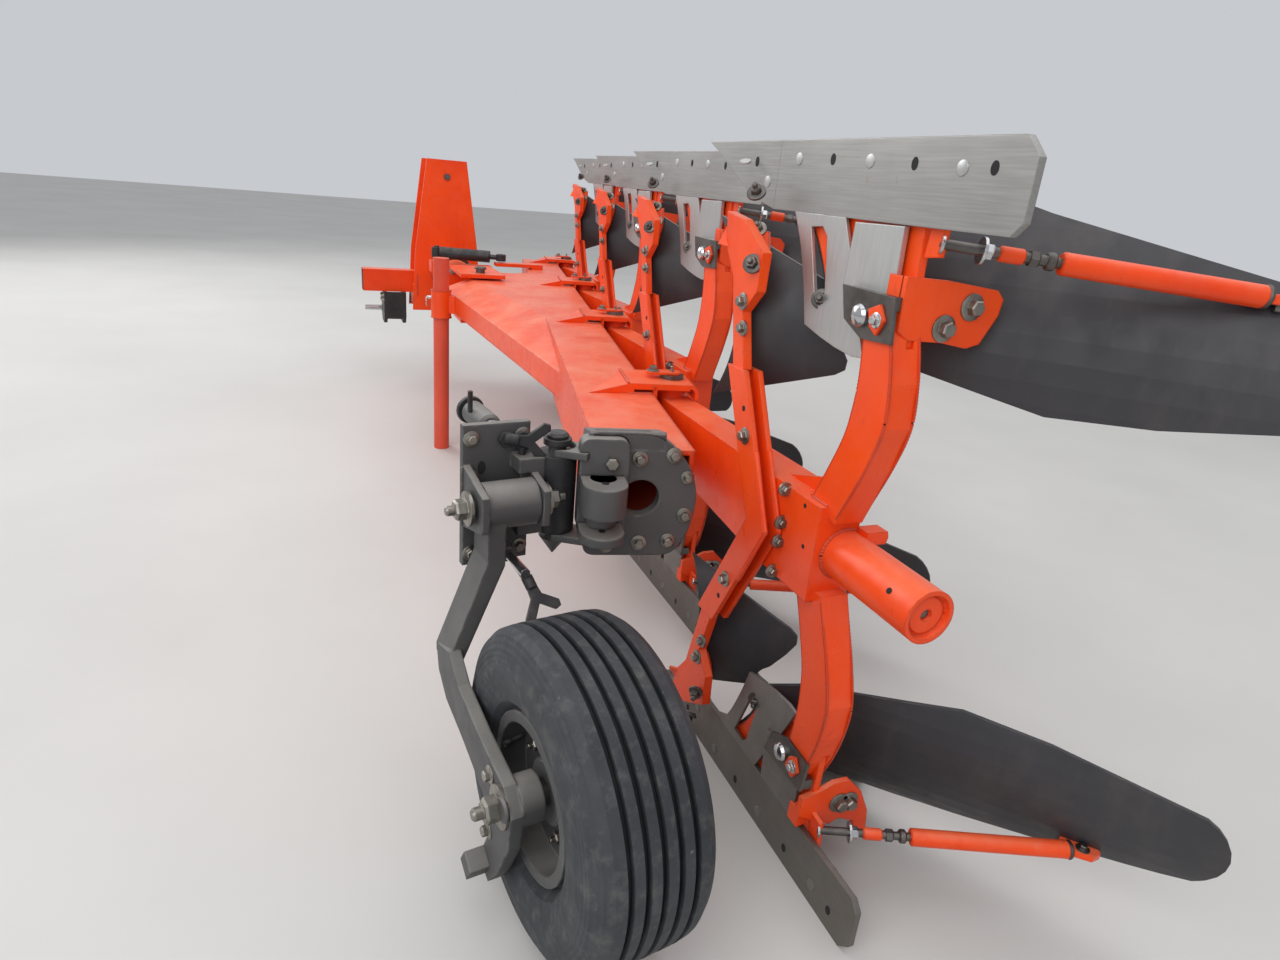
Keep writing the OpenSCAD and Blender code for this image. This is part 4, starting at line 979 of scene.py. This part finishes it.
# painted shade: a dark sheet in the bracket's open long hole
long_hole = ring((-668, 62), 9, 20, 1.7)
add_mount("bracket_slot_shade", HOLE_SHADE, [prism(long_hole, BRACKET_Y - 1, BRACKET_Y + 0.5, "y")], "grey_casting")
seams = [bead([(x, BRACKET_Y + 1, -70), (x, BRACKET_Y + 1, 70)], 4.5) for x in UPRIGHT_SEAMS]
seams += [bead([(-600, BRACKET_Y - 4, z), (-541, BRACKET_Y - 4, z)], 4) for z in SPOOL_SEAMS]
add_mount("bracket_seams", CAST, seams, "grey_casting")
add_mount("spool_collars", BLACK, [
    lathe([(0, 0), (0, 24), (7, 26), (13, 20), (13, 0)], (*SWIVEL, 126.5), UP),
    rod((*SHACKLE, 88), (*SHACKLE, 106), 8),
    wire(hoop((*SHACKLE, 122), 17, "y"), 6)], "black_paint")

# the wheel's arm: its middle plane, and how far its faces stand off
ARM_X = -754
ARM_FACE = ARM_X - 27
stop = prism([(-22, -22), (22, -22), (22, 22), (-22, 22)], -58, 30, "z")
lean = Matrix.Rotation(math.radians(90), 4, "Y") @ Matrix.Rotation(math.radians(30), 4, "Z")
stop.transform(Matrix.Translation((ARM_X - 10, HUB_Y + 80, HUB_Z - 206)) @ lean)
boss = rod((ARM_FACE, -960, HUB_Z + 12), (ARM_FACE - 9, -960, HUB_Z + 12), 26)
piece("arm_stop_bar", "wheel_link", CAST, [stop, boss], WHEEL, "grey_casting")
arm_bolts = [nut((ARM_FACE, HUB_Y, HUB_Z), LEFT, 46), bolt((ARM_FACE, -880, HUB_Z + 30), LEFT, 20),
             bolt((ARM_FACE, HUB_Y + 60, HUB_Z - 110), LEFT, 20)]
piece("arm_bolts", "wheel_link", BOLT, arm_bolts, WHEEL, "pin_steel")

WHEEL_NUTS, NUTS_R, NUTS_TURN = 6, 106, 0.3
fixed = []
for i in range(WHEEL_NUTS):
    a = 2 * math.pi * i / WHEEL_NUTS + NUTS_TURN
    y, z = HUB_Y + NUTS_R * math.cos(a), HUB_Z + NUTS_R * math.sin(a)
    fixed += [nut((WHEEL_X - 40, y, z), LEFT, 22, a), bolt((WHEEL_X - 27, y, z), RIGHT, 22, a)]
piece("wheel_nuts", "wheel", BOLT, fixed, WHEEL, "pin_steel")
cap = [(0, 0), (0, 60), (10, 60), (14, 52), (34, 46), (40, 34), (42, 0)]
lip = [(0, 58), (0, 66), (8, 66), (8, 58)]
hub = [lathe(profile, (WHEEL_X + x, HUB_Y, HUB_Z), RIGHT, 32) for profile, x in ((cap, 40), (lip, -70))]
piece("hub_cap", "wheel", CAST, hub, WHEEL, "grey_casting")
stem = rod((WHEEL_X - 100, HUB_Y + 130, HUB_Z + 30), (WHEEL_X - 60, HUB_Y + 138, HUB_Z + 32), 5)
valve = rod((WHEEL_X - 106, HUB_Y + 129, HUB_Z + 30), (WHEEL_X - 92, HUB_Y + 131, HUB_Z + 30), 7)
piece("tyre_valve", "wheel", BLACK, [stem, valve], WHEEL, "black_paint")

# ---------------------------------------------------------------- stand leg
STAND_X, STAND_Y = -778, 1991
STAND_TOP = 1016 - MID
SLEEVE_R, SLEEVE_HALF = 51, 69
pin = rod((STAND_X - 70, STAND_Y, 30), (STAND_X - 48, STAND_Y, 30), 9)
pull = wire(hoop((STAND_X - 74, STAND_Y, 8), 22, "x"), 3)
piece("stand_pin", "beam", BRIGHT, [pin, pull], BEAM, "bright_steel")
seams = [bead(hoop((STAND_X, STAND_Y, z), SLEEVE_R, "z", 24), 3.5) for z in (SLEEVE_HALF, -SLEEVE_HALF)]
piece("sleeve_seams", "beam", WELD, seams, BEAM, "orange_paint")
cap = lathe([(0, 0), (0, 38), (5, 39.5), (12, 38), (12, 0)], (STAND_X, STAND_Y, STAND_TOP - 13), UP, 32)
piece("stand_cap", "stand", MATS["faded_red_paint"], [cap], BEAM, "faded_red_paint")

# ---------------------------------------------------------------- headstock and front
AXIS_X = -130
REAR_Y, HEAD_Y = 3600, 3880
BOX_Z0, BOX_Z1, BOX_HALF = -187, -39, 545
BOX_Y0, BOX_Y1, CAP_T = HEAD_Y - 124, HEAD_Y - 20, 4
LINK_X = 412.5
FLANGE_Y, FLANGE_BOLTS, CRANK_Y = 3260, 8, 3676
SWING_Y, SWING_PIN_Y = 2719.5, 2378
SWING_BOLTS = [(-95, 95), (0, 118), (95, 95)]


def both(make):
    """A solid made twice: on the right and the left of the turnover axis, or above and below it."""
    return [make(s) for s in (1, -1)]


(y0, y1), (z0, z1) = (BOX_Y0 + CAP_T, BOX_Y1 - CAP_T), (BOX_Z0 + CAP_T, BOX_Z1 - CAP_T)
outline = [(y0, z0), (y1, z0), (y1, z1), (y0, z1)]
caps = [prism(outline, AXIS_X + x, AXIS_X + x + CAP_T) for x in (-BOX_HALF - CAP_T, BOX_HALF)]
piece("box_caps", "headstock", BLACK, caps, HEAD, "black_paint")
seams = [bead([(AXIS_X + s * 200, REAR_Y + y, BOX_Z0), (AXIS_X + s * 200, REAR_Y + y, BOX_Z1)], 5)
         for s in (1, -1) for y in (-1, 281)]
collar = bead(hoop((AXIS_X, REAR_Y - 2, 0), 116, "y", 40), 6)
piece("tower_seams", "headstock", WELD, [seams, collar], HEAD, "orange_paint")
ears = both(lambda s: bead([(AXIS_X + s * 50, HEAD_Y + 1, 420), (AXIS_X + s * 50, HEAD_Y + 1, 690)], 4))
piece("ear_seams", "headstock", WELD, ears, HEAD, "orange_paint")
fixed = [bolt((AXIS_X + s * LINK_X, y, z), (s, 0, 0), 22)
         for s in (1, -1) for y in (HEAD_Y - 140, HEAD_Y - 60) for z in (-215, -245)]
for i in range(FLANGE_BOLTS):
    a = 2 * math.pi * (i + 0.5) / FLANGE_BOLTS
    fixed.append(bolt((AXIS_X + 92 * math.cos(a), FLANGE_Y, 92 * math.sin(a)), BACK, 17, a))
piece("head_bolts", "headstock", BOLT, fixed, HEAD, "pin_steel")
piece("crank_nut", "turnover", PIN, bolt((AXIS_X, CRANK_Y, 0), FORWARD, 60), HEAD, "pin_steel")
fixed = [bolt((AXIS_X + x, SWING_Y, s * z), BACK, 24, 0.2) for s in (1, -1) for x, z in SWING_BOLTS]
piece("swing_bolts", "turnover", BOLT, fixed, HEAD, "pin_steel")
lines = both(lambda s: bead([(-250, SWING_Y - 1.5, s * 133), (-10, SWING_Y - 1.5, s * 133)], 5))
seams = [bead(hoop((AXIS_X, 2762, 0), 106, "y", 32), 6), lines]
piece("swing_seams", "turnover", WELD, seams, HEAD, "orange_paint")
cap = [(0, 0), (0, 33), (8, 33), (12, 28), (12, 0)]
caps = both(lambda s: lathe(cap, (AXIS_X, SWING_PIN_Y, s * 152), (0, 0, s), 32))
piece("swing_pin_caps", "turnover", PIN, caps, HEAD, "pin_steel")

# ---------------------------------------------------------------- floor and light
def floor():
    m = Mat("studio_floor")
    m.set(m.ramp(m.noise(0.7, 6), (0.3, srgb(196, 194, 190)), (0.75, srgb(206, 204, 200))), 0.8)
    bm = bmesh.new()
    bmesh.ops.create_grid(bm, x_segments=1, y_segments=1, size=30)
    obj = mesh_object("studio_floor", bm, m.m)


def light(name, loc, at, size, power):
    d = bpy.data.lights.new(name, "AREA")
    d.shape = "RECTANGLE"
    d.size, d.size_y = size
    d.energy = power
    o = bpy.data.objects.new(name, d)
    o.location = loc
    o.rotation_euler = (Vector(at) - Vector(loc)).to_track_quat("-Z", "Y").to_euler()
    bpy.context.collection.objects.link(o)


floor()
light("door_light", (-5, 7, 5.5), (0, 0, 0.6), (6, 5), 330)
light("roof_light", (0.5, -0.5, 6.5), (0, 0, 0.5), (8, 8), 190)
light("side_light", (-5.5, -5.5, 5.2), (0, -0.5, 0.6), (7, 6), 310)
world = bpy.data.worlds.new("studio")
bpy.context.scene.world = world
world.use_nodes = True
world.node_tree.nodes["Background"].inputs["Color"].default_value = (0.92, 0.95, 1.0, 1)
world.node_tree.nodes["Background"].inputs["Strength"].default_value = 0.62
